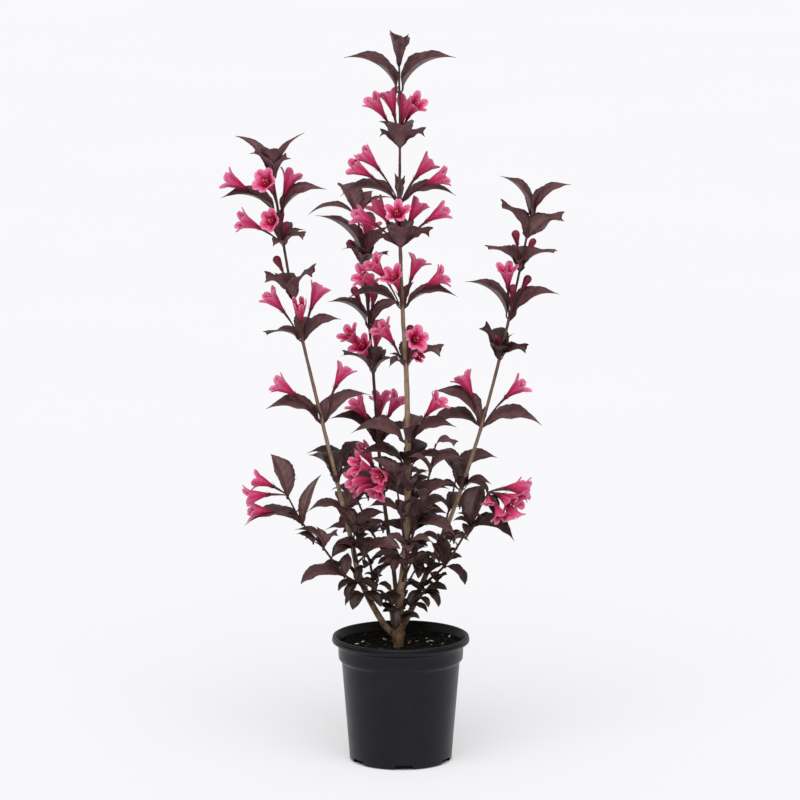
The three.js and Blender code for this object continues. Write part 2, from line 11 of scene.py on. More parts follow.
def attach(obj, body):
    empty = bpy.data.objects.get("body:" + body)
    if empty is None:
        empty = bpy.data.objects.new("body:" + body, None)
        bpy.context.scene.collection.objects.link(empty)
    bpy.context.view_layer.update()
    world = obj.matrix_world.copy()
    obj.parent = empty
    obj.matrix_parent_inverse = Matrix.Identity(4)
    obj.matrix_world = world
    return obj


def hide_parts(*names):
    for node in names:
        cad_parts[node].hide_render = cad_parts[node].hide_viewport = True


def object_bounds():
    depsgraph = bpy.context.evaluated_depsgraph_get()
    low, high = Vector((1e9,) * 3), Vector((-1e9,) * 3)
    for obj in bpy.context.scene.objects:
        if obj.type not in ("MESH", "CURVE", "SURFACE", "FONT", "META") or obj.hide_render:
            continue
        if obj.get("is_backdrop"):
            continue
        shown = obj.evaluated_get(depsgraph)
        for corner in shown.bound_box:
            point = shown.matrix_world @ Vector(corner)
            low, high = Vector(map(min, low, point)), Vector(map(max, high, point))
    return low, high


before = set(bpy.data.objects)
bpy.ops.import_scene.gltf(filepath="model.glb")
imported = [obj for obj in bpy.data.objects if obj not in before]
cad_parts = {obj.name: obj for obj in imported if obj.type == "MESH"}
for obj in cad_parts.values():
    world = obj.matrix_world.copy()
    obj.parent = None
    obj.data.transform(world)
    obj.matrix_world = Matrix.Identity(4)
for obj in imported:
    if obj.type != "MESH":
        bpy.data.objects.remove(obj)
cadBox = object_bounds()
millimetre = 0.001
scene = bpy.context.scene
upwards = np.array([0, 0, 1.0])
fullTurn = 6.3


def add(name, data):
    made = bpy.data.objects.new(name, data)
    scene.collection.objects.link(made)
    return made


def makeMesh(name, points, faces=(), edges=(), finishes=(), zones=None, blade=None):
    # An object from places in millimetres. Zones pick each face's finish, and blade gives each corner's
    # place on its leaf or petal.
    mesh = bpy.data.meshes.new(name)
    mesh.from_pydata((np.asarray(points) * millimetre).tolist(), edges, faces)
    for finish in finishes:
        mesh.materials.append(finish)
    if zones is not None:
        mesh.polygons.foreach_set("material_index", np.asarray(zones, np.int32))
    if blade is not None:
        mesh.uv_layers.new(name="blade").data.foreach_set("uv", np.asarray(blade, np.float32).ravel())
    mesh.shade_smooth()
    mesh.validate()
    return add(name, mesh)


def settled(name, carrier):
    # The carrier's evaluated shape as a plain mesh of its own.
    graph = bpy.context.evaluated_depsgraph_get()
    mesh = bpy.data.meshes.new_from_object(carrier.evaluated_get(graph), depsgraph=graph)
    carrier.modifiers.clear()
    mesh.name = name
    return add(name, mesh)


def ring(radius, height, sides):
    angles = np.arange(sides) * math.tau / sides
    return list(zip(radius * np.cos(angles), radius * np.sin(angles), np.full(sides, height)))


def spoke(bearing):
    angle = math.radians(bearing)
    return np.array([math.cos(angle), math.sin(angle), 0])


def tabled(table, along):
    # a value from rows of place and value
    return np.interp(along, *zip(*table))


def tone(red, green, blue):
    # a colour as it is picked on a screen, made linear
    def straight(share):
        return share / 12.92 if share <= 0.04045 else ((share + 0.055) / 1.055) ** 2.4
    return (*(straight(value / 255) for value in (red, green, blue)), 1)


# Shader and shape nodes.
class Wire:
    # One socket of a node tree. Sums and products of wires add Math nodes, and node() adds any other node.
    def __init__(self, tree, socket=None):
        self.tree = tree
        self.socket = socket

    def node(self, kind, sockets=None, output=0, **settings):
        made = self.tree.nodes.new(kind)
        for label, value in settings.items():
            if label == "stops":
                while len(made.color_ramp.elements) < len(value):
                    made.color_ramp.elements.new(1)
                for element, (place, colour) in zip(made.color_ramp.elements, value):
                    element.position = place
                    element.color = tone(*colour)
            else:
                setattr(made, label, value)
        for label, value in (sockets or {}).items():
            if isinstance(value, Wire):
                self.tree.links.new(value.socket, made.inputs[label])
            else:
                made.inputs[label].default_value = value
        return Wire(self.tree, made.outputs[output])

    def maths(self, operation, first, second=0.0):
        return self.node("ShaderNodeMath", {0: first, 1: second}, operation=operation)

    def __add__(self, other):
        return self.maths("ADD", self, other)

    def __sub__(self, other):
        return self.maths("SUBTRACT", self, other)

    def __rsub__(self, other):
        return self.maths("SUBTRACT", other, self)

    def __mul__(self, other):
        return self.maths("MULTIPLY", self, other)

    __radd__ = __add__
    __rmul__ = __mul__

    def part(self, number):
        return self.node("ShaderNodeSeparateXYZ", {0: self}, number)

    def scaled(self, x, y, z):
        return self.node("ShaderNodeVectorMath", {0: self, 1: (x, y, z)}, operation="MULTIPLY")

    def noise(self, size, detail=2.0, roughness=0.5):
        # noise whose grains are about this many millimetres across
        return self.node("ShaderNodeTexNoise", {
            "Vector": self, "Scale": 1 / size, "Detail": detail, "Roughness": roughness})

    def ranged(self, low, high, least=0.0, most=1.0):
        return self.node("ShaderNodeMapRange", {
            "Value": self, "From Min": low, "From Max": high, "To Min": least, "To Max": most})

    def between(self, first, second):
        # from one colour to another, masked by this wire; a plain colour is given as on a screen
        ends = [end if isinstance(end, Wire) else tone(*end) for end in (first, second)]
        return self.node("ShaderNodeMix", {"Factor": self, 6: ends[0], 7: ends[1]}, 2, data_type="RGBA")


class Finish:
    # A material with its shader, and its piece's own coordinates in millimetres.
    def __init__(self, name, roughness, specular):
        self.material = bpy.data.materials.new(name)
        self.material.use_nodes = True
        self.shader = self.material.node_tree.nodes["Principled BSDF"]
        self.set("Roughness", roughness)
        self.set("Specular IOR Level", specular)
        self.place = Wire(self.material.node_tree).node("ShaderNodeTexCoord", output="Object")
        self.place = self.place.scaled(1000, 1000, 1000)

    def set(self, label, value):
        self.shader.inputs[label].default_value = value

    def feed(self, label, wire):
        wire.tree.links.new(wire.socket, self.shader.inputs[label])

    def relief(self, height, strength, depth):
        # a bump of so many millimetres
        self.feed("Normal", height.node("ShaderNodeBump", {
            "Strength": strength, "Distance": depth * millimetre, "Height": height}))


def leafFinish(name, dark, light, rib):
    # Satin leaf: soft mottling, raised side veins and a sunk midrib that follow the blade.
    finish = Finish(name, 0.5, 0.3)
    place = finish.place
    blade = place.node("ShaderNodeUVMap", uv_map="blade")
    side = place.maths("ABSOLUTE", blade.part(0) - 0.5) * 2.0
    vein = place.maths("PINGPONG", blade.part(1) * 7.5 - side * 1.3, 0.5) * 2.0
    vein = place.maths("POWER", vein, 3.0)
    midrib = place.maths("POWER", 1.0 - side, 6.0)
    leaf = place.noise(9, 3).ranged(0.35, 0.65).between(dark, light)
    finish.feed("Base Color", (midrib * 0.62 + vein * 0.2).ranged(0, 1).between(leaf, rib))
    finish.feed("Roughness", place.noise(5).ranged(0.3, 0.7, 0.34, 0.54))
    finish.relief(0.55 * vein + place.noise(0.9) * 0.35 - midrib * 1.4, 0.55, 0.45)
    return finish.material


def petalFinish(name, tones, edge):
    # Silky petal: its tones run from the tube's foot to a lobe's tip, streaked, with a duller edge.
    finish = Finish(name, 0.5, 0.22)
    finish.set("Sheen Weight", 0.08)
    finish.set("Sheen Roughness", 0.4)
    blade = finish.place.node("ShaderNodeUVMap", uv_map="blade")
    across, along = blade.part(0), blade.part(1)
    streak = blade.scaled(9, 1.4, 1).noise(1, 3)
    cloud = finish.place.noise(3.2, 3)
    way = along + (streak - 0.5) * 0.5 + (cloud - 0.5) * 0.4 + (across - 0.6) * 0.24
    petal = way.node("ShaderNodeValToRGB", {"Fac": way}, stops=tones)
    edged = across.ranged(0.7, 1) * along.ranged(0.55, 0.75)
    finish.feed("Base Color", (edged * 0.55).between(petal, edge))
    finish.relief(finish.place.noise(0.7) + streak, 0.3, 0.3)
    return finish.material


def barkFinish(name, woody, young, turnsYoung):
    # Bark: fine upright fissures and pale corky spots, darkened at the foot by painted shade, then tan, and
    # purple-brown on the year's growth.
    finish = Finish(name, 0.75, 0.2)
    fissure = finish.place.scaled(1, 1, 0.16).noise(1.5, 4, 0.65)
    patch = finish.place.scaled(1, 1, 0.5).noise(7, 3)
    above = finish.place.part(2) + patch * 90.0
    wood = (fissure * 0.6 + patch * 0.4).ranged(0.36, 0.64).between(*woody)
    # painted shade: the bark's tones are darker towards the soil, where the leaves above shade it
    paintedShadeFoot = (fissure * 0.5 + patch * 0.5).ranged(0.36, 0.64).between((52, 38, 27), (146, 116, 88))
    wood = above.ranged(190, 290).between(paintedShadeFoot, wood)
    green = fissure.ranged(0.35, 0.65).between(*young)
    finish.feed("Base Color", above.ranged(turnsYoung - 60, turnsYoung + 130).between(wood, green))
    finish.feed("Roughness", patch.ranged(0.3, 0.7, 0.62, 0.85))
    finish.relief(fissure + finish.place.noise(0.6) * 0.3, 0.8, 0.5)
    return finish.material


def plainFinish(name, dark, light, size, roughness=0.6, depth=0.2, specular=0.3):
    # Two near tones in grains of one size, with a matching relief.
    finish = Finish(name, roughness, specular)
    grain = finish.place.noise(size, 3)
    finish.feed("Base Color", grain.ranged(0.35, 0.65).between(dark, light))
    finish.relief(grain, 0.6, depth)
    return finish.material


def potFinish():
    # Moulded black plastic: satin, with a fine moulding grain and faint handling marks.
    finish = Finish("black_plastic", 0.4, 0.25)
    cloud = finish.place.noise(26, 3)
    rub = finish.place.scaled(1, 1, 0.08).noise(1.6)
    finish.feed("Base Color", cloud.ranged(0.35, 0.65).between((6, 6, 15), (11, 11, 22)))
    finish.feed("Roughness", (cloud * 0.6 + rub * 0.4).ranged(0.35, 0.65, 0.29, 0.42))
    finish.relief(finish.place.noise(0.5), 0.25, 0.1)
    return finish.material


# Camera, floor and light.
studio = {
    "camera": (-0.9, -5000, 1302), "pitch": 9.86, "lens": 194.2, "sensor": 36, "farthest": 200,
    "world": 0.45, "sun": 2.24, "sunSpread": 62, "sunTilt": (37, -3, 0),
    # the floor glows: a painted light that lifts the shadows on it, switched off near the pot's foot
    "floorRadius": 40000, "floorSides": 96, "floorPaintedGlow": 0.4,
    "floorTones": ((192.14, 191.82, 195.2), (194.88, 194.56, 197.89)),
    "paintedGlowStart": (56, 63),  # the glow starts between these distances from the pot's middle
}


def makeCamera():
    data = bpy.data.cameras.new("camera")
    data.lens = studio["lens"]
    data.sensor_width = studio["sensor"]
    data.clip_end = studio["farthest"]
    camera = add("camera", data)
    camera.location = np.array(studio["camera"]) * millimetre
    camera.rotation_euler = (math.radians(90 - studio["pitch"]), 0, 0)
    scene.camera = camera


def makeLight():
    world = bpy.data.worlds.new("soft white room")
    world.use_nodes = True
    sky = world.node_tree.nodes["Background"]
    sky.inputs["Color"].default_value = (1, 1, 1, 1)
    sky.inputs["Strength"].default_value = studio["world"]
    scene.world = world
    data = bpy.data.lights.new("broad key", "SUN")
    data.energy = studio["sun"]
    data.angle = math.radians(studio["sunSpread"])
    add("broad key", data).rotation_euler = np.radians(studio["sunTilt"])
    scene.view_settings.view_transform = "Standard"


def makeFloor():
    finish = Finish("pale_floor", 0.9, 0.0)
    place = finish.place
    finish.feed("Base Color", place.noise(900).between(*studio["floorTones"]))
    # painted light: the floor's emission lifts its shadows, and is off close round the pot's foot
    apart = place.node("ShaderNodeVectorMath", {0: place}, 1, operation="LENGTH")
    finish.feed("Emission Color", apart.ranged(*studio["paintedGlowStart"]).between((0, 0, 0), (255, 255, 255)))
    finish.set("Emission Strength", studio["floorPaintedGlow"])
    sides = studio["floorSides"]
    floor = makeMesh("floor", ring(studio["floorRadius"], 0, sides), [range(sides)],
                     finishes=[finish.material])
    floor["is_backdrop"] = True


makeCamera()
makeLight()
makeFloor()
print("camera, light and floor are set")


# Each stem: its path from the soil, its width at foot and tip, and how early it slims.
stems = {
    "main_stem": {"path": [(-3, 0, 158.3), (-1, 0, 190), (4, 0, 233), (8, 0, 315), (7, 0, 451), (2, 0, 544),
        (-1, 0, 640), (-1, 0, 734), (-2, 0, 834)],
        "foot": 12, "tip": 2, "slim": 1.55},
    "left_stem": {"path": [(-4, -1, 146), (-20, -3, 164), (-47, -8, 218), (-61, -15, 280), (-92, -30, 413),
        (-125, -46, 562), (-148, -62, 708)],
        "foot": 8.2, "tip": 2, "slim": 1.3},
    "right_stem": {"path": [(-2, -1, 152), (13, 2, 181), (27, 5, 215), (58, 11, 287), (96, 21, 400),
        (128, 32, 526), (155, 43, 653)],
        "foot": 7.2, "tip": 2, "slim": 1.3},
    "back_stem": {"path": [(-3, 2, 150), (-6, 14, 200), (-10, 27, 237), (-18, 43, 288), (-27, 62, 373),
        (-33, 76, 455), (-44, 92, 578), (-52, 98, 645)],
        "foot": 5.6, "tip": 1.9, "slim": 0.9},
}

# Each whorl's height on its stem, then its leaves, flowers and buds as rows of bearing, reach and lift.
# A fourth number is a leaf's twist, or the arch of a flower or bud.
whorls = {
    "main_stem": {
        "main_whorl_01": (286, [(345, 50, 14), (20, 46, 2), (205, 26, 24), (95, 52, 16)]),
        "main_whorl_02": (326, [(30, 32, 12), (330, 30, 26), (172, 46, 18), (112, 50, 22), (275, 42, 16)]),
        "main_whorl_03": (356, [(197, 62, 14), (343, 50, 10), (64, 52, 18), (262, 34, 20)]),
        "main_whorl_04": (384, [(187, 67, 12), (352, 58, 19), (72, 50, 22), (300, 34, 26)], [(343, 42, 52)]),
        "main_whorl_05": (476, [(342, 46, 19, 70), (237, 36, 2), (75, 58, 14), (190, 20, 14)],
            [(297, 34, 34, 44), (198, 33, 46), (296, 38, 12, 30)], [(66, 15, 43)]),
        "main_whorl_06": (544, [(355, 64, 14), (190, 66, 12)], [(16, 22, 57), (351, 52, 38), (203, 41, 55),
            (206, 59, 42), (236, 24, 41, 26)]),
        "main_whorl_07": (617, [(275, 46, 26), (27, 40, 14, 75), (141, 35, 6, -60), (98, 56, 18)],
            [(259, 25, 44, 46), (159, 33, 47), (193, 54, 37), (18, 25, 48), (350, 55, 42)]),
        "main_whorl_08": (669, [(185, 70, 7), (5, 66, 6)], [(190, 45, 57), (196, 59, 42), (12, 38, 45),
            (352, 56, 29)]),
        "main_whorl_09": (734, [(276, 44, 28), (35, 35, 14, 70), (139, 30, 13, -60), (158, 26, 28),
            (92, 52, 16)], [(199, 36, 54), (161, 15, 61), (316, 32, 52, 38), (72, 21, 50)]),
        "main_whorl_10": (797, [(187, 65, 41), (353, 66, 41)]),
        "main_tip": (829, [(232, 18, 42), (308, 18, 37)]),
    },
    "left_stem": {
        "left_whorl_01": (341, [(104, 40, 26), (166, 34, 30, 60), (340, 24, 19), (268, 32, 8)]),
        "left_whorl_02": (413, [(187, 66, 17), (8, 58, 31)], [(191, 55, 47), (15, 30, 63)]),
        "left_whorl_03": (512, [(188, 43, 6, 70), (10, 46, 23), (88, 46, 20)], [(194, 42, 53), (20, 23, 60),
            (262, 20, 46)]),
        "left_whorl_04": (562, [(312, 42, 36, 60), (190, 34, 26, -60), (118, 50, 20)], [], [(164, 22, 46)]),
        "left_whorl_05": (626, [(326, 32, 12, 70), (249, 32, 1), (95, 50, 16), (15, 26, 16)], [(195, 53, 28),
            (236, 31, 29, 46)], [(286, 19, 26), (100, 24, 34)]),
        "left_whorl_06": (660, [(185, 67, 21), (4, 55, 30)], [(187, 62, 42), (235, 32, 43, 40),
            (37, 20, 46)]),
        "left_tip": (703, [(264, 30, 38), (215, 28, 33, 60), (322, 23, 27, -60), (160, 46, 48),
            (21, 39, 52)]),
    },
    "right_stem": {
        "right_whorl_02": (325, [(97, 36, 26), (189, 37, -4), (339, 38, 8), (280, 26, 18)]),
        "right_whorl_03": (400, [(174, 59, 40), (355, 71, 1), (180, 66, -5)], [(162, 26, 57),
            (351, 50, 50)]),
        "right_whorl_04": (479, [(93, 44, 30), (337, 36, 14, 70), (148, 23, 38, -50), (262, 40, 18)], [],
            [(233, 8, 27)]),
        "right_whorl_05": (526, [(187, 53, 45), (6, 60, 28)], [(257, 16, 62)], [(288, 15, 40),
            (14, 25, 48)]),
        "right_whorl_06": (584, [(199, 42, 25, 50), (339, 44, 21, -60), (262, 30, 12), (92, 46, 20)], [],
            [(236, 12, 45), (24, 19, 33)]),
        "right_whorl_07": (623, [(196, 34, 37), (11, 44, 20)]),
        "right_tip": (648, [(192, 38, 47), (7, 47, 35), (303, 24, 33), (112, 30, 34)]),
    },
    "back_stem": {
        "back_whorl_03": (315, [(12, 54, 20), (170, 56, 18), (95, 60, 14)], [(212, 30, 55)]),
        "back_whorl_04": (373, [(186, 58, 29), (14, 50, 9), (80, 40, 26), (100, 62, 10)], [(203, 31, 49),
            (347, 27, 54), (84, 34, 48)], [(287, 8, 50)]),
        "back_whorl_05": (455, [(201, 39, 22, 60), (275, 36, 36), (333, 35, 18, -60), (88, 60, 14)],
            [(217, 40, 50), (242, 34, 38), (80, 36, 46)]),
        "back_whorl_06": (509, [(187, 50, 30), (10, 42, 27)], [(96, 26, 50)], [(207, 22, 46), (54, 12, 38)]),
        "back_whorl_07": (580, [(233, 35, 25, 60), (337, 32, 15, -60), (92, 60, 16), (268, 30, 16)],
            [(76, 30, 48)], [(209, 21, 30), (42, 12, 30)]),
        "back_tip": (640, [(188, 59, 2), (118, 40, 32), (317, 29, -8), (56, 34, 26), (8, 44, 20)]),
    },
}

# Each shoot's stem and height on it, its path from there, and such rows for the joint at each of its places.
shoots = {
    "low_left_shoot": ("left_stem", 212,
        [(-66, -26, 228), (-91, -40, 264), (-115, -52, 296), (-132, -58, 329)], [
        [[(183, 52, -9), (70, 12, 26)]],
        [[(120, 16, 24), (20, 18, 18, 60), (190, 34, 24)]],
        [[(188, 68, 0), (48, 32, 54)], [(190, 64, 16)]],
        [[(140, 26, 48), (30, 12, 22)], [(172, 41, 18), (190, 50, -2)]],
    ]),
    "low_right_shoot": ("right_stem", 207,
        [(52, -22, 239), (67, -34, 265), (81, -46, 292), (102, -54, 332)], [
        [[(150, 18, 26), (335, 26, -20)]],
        [[]],
        [[(0, 52, -18), (200, 22, 8), (262, 30, -10), (60, 24, 44)]],
        [[(165, 22, 12), (300, 14, -26)], [(352, 50, 4), (330, 46, -8), (300, 32, -28), (270, 22, -12, 40),
            (20, 42, 2)]],
    ]),
    "flowering_shoot": ("main_stem", 250, [(0, -16, 300), (-5, -22, 334)], [
        [[(200, 40, 12), (325, 30, 20)]],
        [[(168, 34, 34), (262, 30, 24), (340, 26, 26)], [(212, 60, 32), (229, 36, 14, 44), (200, 54, 0),
            (230, 40, -8, 40)]],
    ]),
    "inner_right_shoot": ("main_stem", 236,
        [(18, -20, 289), (26, -26, 318), (34, -28, 352), (41, -28, 386)], [
        [[(350, 30, 20), (215, 24, 14)]],
        [[(20, 40, 18), (250, 30, 16)]],
        [[(352, 40, 18), (210, 30, 22)]],
        [[(340, 26, 2, 60)]],
    ]),
    "inner_left_shoot": ("left_stem", 186, [(-36, 10, 233), (-50, 12, 266), (-64, 14, 296)], [
        [[(350, 36, 14), (255, 26, 2)]],
        [[(182, 40, 10), (5, 38, 16), (80, 30, 14)]],
        [[(188, 48, 2), (320, 22, 12), (60, 30, 26), (115, 34, 20)]],
    ]),
    "mid_left_shoot": ("left_stem", 238, [(-56, -30, 264), (-54, -50, 286)], [
        [[(210, 30, -12), (330, 30, 4)]],
        [[(240, 40, 14), (5, 38, 22), (140, 34, 26)]],
    ]),
    "mid_front_shoot": ("main_stem", 212, [(6, -28, 241), (8, -54, 266)], [
        [[(180, 26, 4), (350, 26, 2)]],
        [[(215, 36, 14), (325, 36, 12), (275, 34, 2)]],
    ]),
    "back_left_shoot": ("back_stem", 226, [(-34, 58, 262), (-52, 86, 296), (-66, 104, 334)], [
        [[(190, 36, 2), (70, 34, -2)]],
        [[(140, 42, 8), (10, 36, 10)]],
        [[(175, 48, 16), (60, 50, 20), (290, 24, 22)]],
    ]),
    "back_right_shoot": ("right_stem", 224, [(46, 34, 256), (58, 64, 290), (68, 88, 330)], [
        [[(10, 36, 0), (160, 24, 6)]],
        [[(60, 44, 6), (185, 34, 12)]],
        [[(5, 48, 18), (130, 46, 18), (250, 26, 20)]],
    ]),
    "back_low_shoot": ("back_stem", 198, [(4, 46, 226), (10, 78, 256), (14, 98, 292)], [
        [[(170, 32, 0), (5, 34, 2)]],
        [[(150, 34, 8), (20, 40, 6)]],
        [[(165, 44, 14), (15, 46, 14), (90, 46, 6)]],
    ]),
    "left_sprig": ("left_stem", 184, [(-44, -20, 206)], [
        [[(195, 22, -14), (235, 22, -16), (330, 24, -14)]],
    ]),
    "right_sprig": ("right_stem", 186, [(29, -14, 206)], [
        [[(350, 26, 4), (330, 18, -16), (200, 22, 10), (265, 20, 4)]],
    ]),
    "foot_sprig": ("main_stem", 164, [(-8, -14, 176)], [[[(165, 20, 14), (330, 16, 12), (250, 18, 10)]]]),
    "side_sprig": ("main_stem", 196, [(17, -14, 232)], [[[(10, 24, 10), (200, 16, 14), (300, 22, 0)]]]),
}
# Finer sprigs among the low stems.
sprigs = {
    "upper_left": ("left_stem", 238, [(-43, -26, 251)], [[[(190, 35, 17), (352, 43, 11), (56, 17, 21)]]]),
    "upper_main": ("main_stem", 226, [(-1, -24, 251)], [[[(243, 16, -16), (199, 25, 11)]]]),
    "high_main": ("main_stem", 240, [(13, -16, 287)], [[[(351, 54, -15), (9, 38, 28), (320, 25, 13)]]]),
    "upper_right": ("right_stem", 236, [(51, -16, 239)], [[[(231, 12, 41), (205, 24, -12), (21, 23, 8)]]]),
    "middle_main": ("main_stem", 214, [(16, -14, 249)], [[[(14, 17, 18), (337, 20, -13), (291, 13, -24)]]]),
    "low_right": ("right_stem", 196, [(23, -14, 200)], [[[(206, 18, 23), (346, 24, 5), (313, 14, -10)]]]),
    "middle_left": ("left_stem", 206, [(-52, -22, 220)], [
        [[(201, 23, -9), (227, 14, -21), (341, 25, -9), (60, 12, 16)]],
    ]),
    "low_left": ("left_stem", 190, [(-28, -18, 216)], [[[(341, 25, 28), (329, 19, -7), (155, 14, 13)]]]),
    "foot_left": ("main_stem", 176, [(-10, -16, 189)], [
        [[(199, 19, 10), (132, 11, 13), (34, 14, 13), (285, 14, -25)]],
    ]),
    "foot_front": ("main_stem", 168, [(1, -14, 171)], [[[(208, 17, 13), (341, 12, 12), (339, 23, 5)]]]),
    "foot_right": ("right_stem", 182, [(11, -12, 188)], [[[(338, 22, -5), (34, 14, 18)]]]),
}


# The plant's rule.
stemBase = {
    "x": -3, "low": 133, "top": 160, "rings": [(0, 5.8), (0.2, 5.9), (0.44, 7.2), (0.7, 8.2), (1, 6.4)],
    "sections": 30, "buried": [(143, 5.8), (151, 6)],
}
collarSeat = 1.425  # from the bark to the middle of a whorl's roots
hang = {"leaves": (-1.2, 42), "flowers": (1.2, 12), "buds": (1.2, 10)}  # height over the joint, usual arch
leafHang = {"fold": 24, "roll": 20, "sway": 8, "twist": 20, "broadside": 30}
bendLimits = {"least": 6, "steepest": 88}
drawSeed = 7919
drawStarts = {"young": 300, "spray": 700, "leaf": 5000, "corolla": 9000, "strands": 12000}


class Draw:
    # The same seeded numbers for one joint or spray every time.
    def __init__(self, number):
        self.state = (drawSeed + number * 2654435761) % 2 ** 32

    def spread(self, low, high):
        self.state = (self.state * 1664525 + 1013904223) % 2 ** 32
        return low + (high - low) * self.state / 2 ** 32


def curvePoint(places, along):
    # A place on the smooth curve through the given places, its pace set by the square roots of their gaps.
    spans = len(places) - 1
    span = min(int(along * spans), spans - 1)
    weight = along * spans - span
    second, third = places[span], places[span + 1]
    first = places[span - 1] if span else 2 * second - third
    fourth = places[span + 2] if span + 2 <= spans else 2 * third - second
    before, here, after = (float(np.sum((b - a) ** 2)) ** 0.25
                           for a, b in ((first, second), (second, third), (third, fourth)))
    step = third - second
    leaving = ((second - first) / before - (third - first) / (before + here) + step / here) * here
    coming = (step / here - (fourth - second) / (here + after) + (fourth - third) / after) * here
    square = -3 * second + 3 * third - 2 * leaving - coming
    cube = 2 * second - 2 * third + leaving + coming
    return second + leaving * weight + square * weight ** 2 + cube * weight ** 3


def stemPlaces(name):
    return np.array(stems[name]["path"], float)


def stemRadius(name, along):
    stem = stems[name]
    return (stem["tip"] + (stem["foot"] - stem["tip"]) * (1 - along) ** stem["slim"]) / 2


def stemAt(name, height):
    # The middle and the radius of a stem at a height.
    places = stemPlaces(name)
    low, high = 0.0, 1.0
    for _ in range(24):
        middle = (low + high) / 2
        if curvePoint(places, middle)[2] < height:
            low = middle
        else:
            high = middle
    return curvePoint(places, low), stemRadius(name, low)


class Midline:
    # The arc that a leaf, flower or bud hangs on: it leaves its root steeply and falls towards its tip.
    def __init__(self, root, bearing, reach, lift, arch):
        slope = math.degrees(math.atan2(lift, reach))
        self.bend = math.radians(min(arch, max(bendLimits["least"], bendLimits["steepest"] - slope)))
        self.length = math.hypot(reach, lift) * self.bend / math.sin(self.bend)
        self.rise = math.radians(slope) + self.bend
        self.root = root
        self.outward = spoke(bearing)
        self.sideways = np.array([-self.outward[1], self.outward[0], 0])

    def at(self, along):
        # centres and upward directions at an array of ways along
        angle = self.rise - 2 * self.bend * np.atleast_1d(along)
        across = self.length * (math.sin(self.rise) - np.sin(angle)) / (2 * self.bend)
        above = self.length * (np.cos(angle) - math.cos(self.rise)) / (2 * self.bend)
        centre = self.root + across[:, None] * self.outward + above[:, None] * upwards
        forward = np.cos(angle)[:, None] * self.outward + np.sin(angle)[:, None] * upwards
        return centre, np.cross(forward, self.sideways)


# Leaves with an outline of their own and flowers still shut, by their places in a joint's rows.
ownShapes = {
    "main_tip": {"leaves": {0: "goblet", 1: "goblet"}}, "main_whorl_07": {"leaves": {0: "bowl"}},
    "main_whorl_09": {"leaves": {0: "bowl", 3: "round"}}, "main_whorl_05": {"flowers": {2: "shut"}},
    "left_tip": {"leaves": {0: "cup", 3: "wisp", 4: "wisp"}}, "left_whorl_03": {"flowers": {2: "shut"}},
    "left_whorl_01": {"leaves": {0: "cup", 1: "goblet"}}, "back_whorl_03": {"flowers": {0: "shut"}},
    "right_whorl_07": {"leaves": {0: "tail", 1: "tail"}}, "low_left_shoot 2": {"leaves": {1: "wisp"}},
    "right_tip": {"leaves": {2: "wisp", 3: "wisp"}}, "low_left_shoot 3": {"leaves": {0: "lens"}},
    "back_tip": {"leaves": {0: "wisp", 1: "cup", 4: "wisp"}}, "low_right_shoot 2": {"leaves": {3: "cup"}},
}
broadside = {"right_whorl_06": (0, 1), "right_whorl_07": (0, 1)}  # leaves that show more of their upper face
organs = {"leaves": [], "flowers": [], "buds": []}


def growJoint(rows, centre, start, draw, tint, name=""):
    # The leaves, flowers and buds of a joint, by the same draws as the solids.
    for (kind, (above, usualArch)), kindRows in zip(hang.items(), rows):
        own = ownShapes.get(name, {}).get(kind, {})
        for place, (bearing, reach, lift, *extra) in enumerate(kindRows):
            joint = centre + upwards * above
            arch = extra[0] if extra and kind != "leaves" else usualArch
            line = Midline(joint + spoke(bearing) * start, bearing, max(reach - start, 1), lift, arch)
            row = {"line": line, "joint": joint, "tint": tint, "number": len(organs[kind])}
            usual = "open"
            if kind == "leaves":
                sway, toRight = leafHang["sway"], math.cos(math.radians(bearing))
                row["fold"] = leafHang["fold"] + draw.spread(-sway, sway)
                row["roll"] = toRight * leafHang["roll"] + draw.spread(-sway, sway)
                row["twist"] = extra[0] if extra else draw.spread(-leafHang["twist"], leafHang["twist"])
                if place in broadside.get(name, ()):
                    row["roll"] += toRight * leafHang["broadside"]
                low = "round" if joint[2] < leafForm["roundBelow"] else "plain"
                usual = "tail" if extra else "lens" if lift > 2 * reach else low
            row["shape"] = own.get(place, usual)
            organs[kind].append(row)


# Thin closed shapes.
def gridFaces(rows, columns, wrap=False):
    # quads over a grid of points, row by row
    row, column = np.mgrid[:rows - 1, :columns if wrap else columns - 1]
    first = row * columns + column
    second = row * columns + (column + 1) % columns
    return np.stack([first, second, second + columns, first + columns], -1).reshape(-1, 4)


def rimEdges(faces):
    # the edges that one face alone has, in its direction
    seen = {}
    for face in faces:
        for a, b in zip(face, np.roll(face, -1)):
            if (b, a) in seen:
                del seen[(b, a)]
            else:
                seen[(a, b)] = True
    return np.array(list(seen))


def outwards(points, faces):
    # the directions that a sheet's corners face
    corners = points[faces]
    normals = np.cross(corners[:, 2] - corners[:, 0], corners[:, 3] - corners[:, 1])
    total = np.zeros_like(points)
    for corner in range(4):
        np.add.at(total, faces[:, corner], normals)
    return total / np.maximum(np.linalg.norm(total, axis=1, keepdims=True), 1e-9)


def makeBlades(name, sheet, places, tops, finishes, rimFinish):
    # One piece of many thin blades: the upper faces, the undersides turned over, and a strip round each rim.
    # Tops are the points of each upper face and how thick it is there.
    total = len(places)
    rim = rimEdges(sheet)
    closed = np.concatenate([sheet, sheet[:, ::-1] + total,
                             np.stack([rim[:, 1], rim[:, 0], rim[:, 0] + total, rim[:, 1] + total], 1)])
    zones = np.repeat((0, 1, rimFinish), (len(sheet), len(sheet), len(rim)))
    points = [side for top, thick in tops for side in (top, top - outwards(top, sheet) * thick)]
    faces = np.concatenate([closed + 2 * total * i for i in range(len(tops))])
    blade = np.tile(np.concatenate([places, places])[closed].reshape(-1, 2), (len(tops), 1))
    return makeMesh(name, np.concatenate(points), faces.tolist(), finishes=finishes,
                    zones=np.tile(zones, len(tops)), blade=blade)


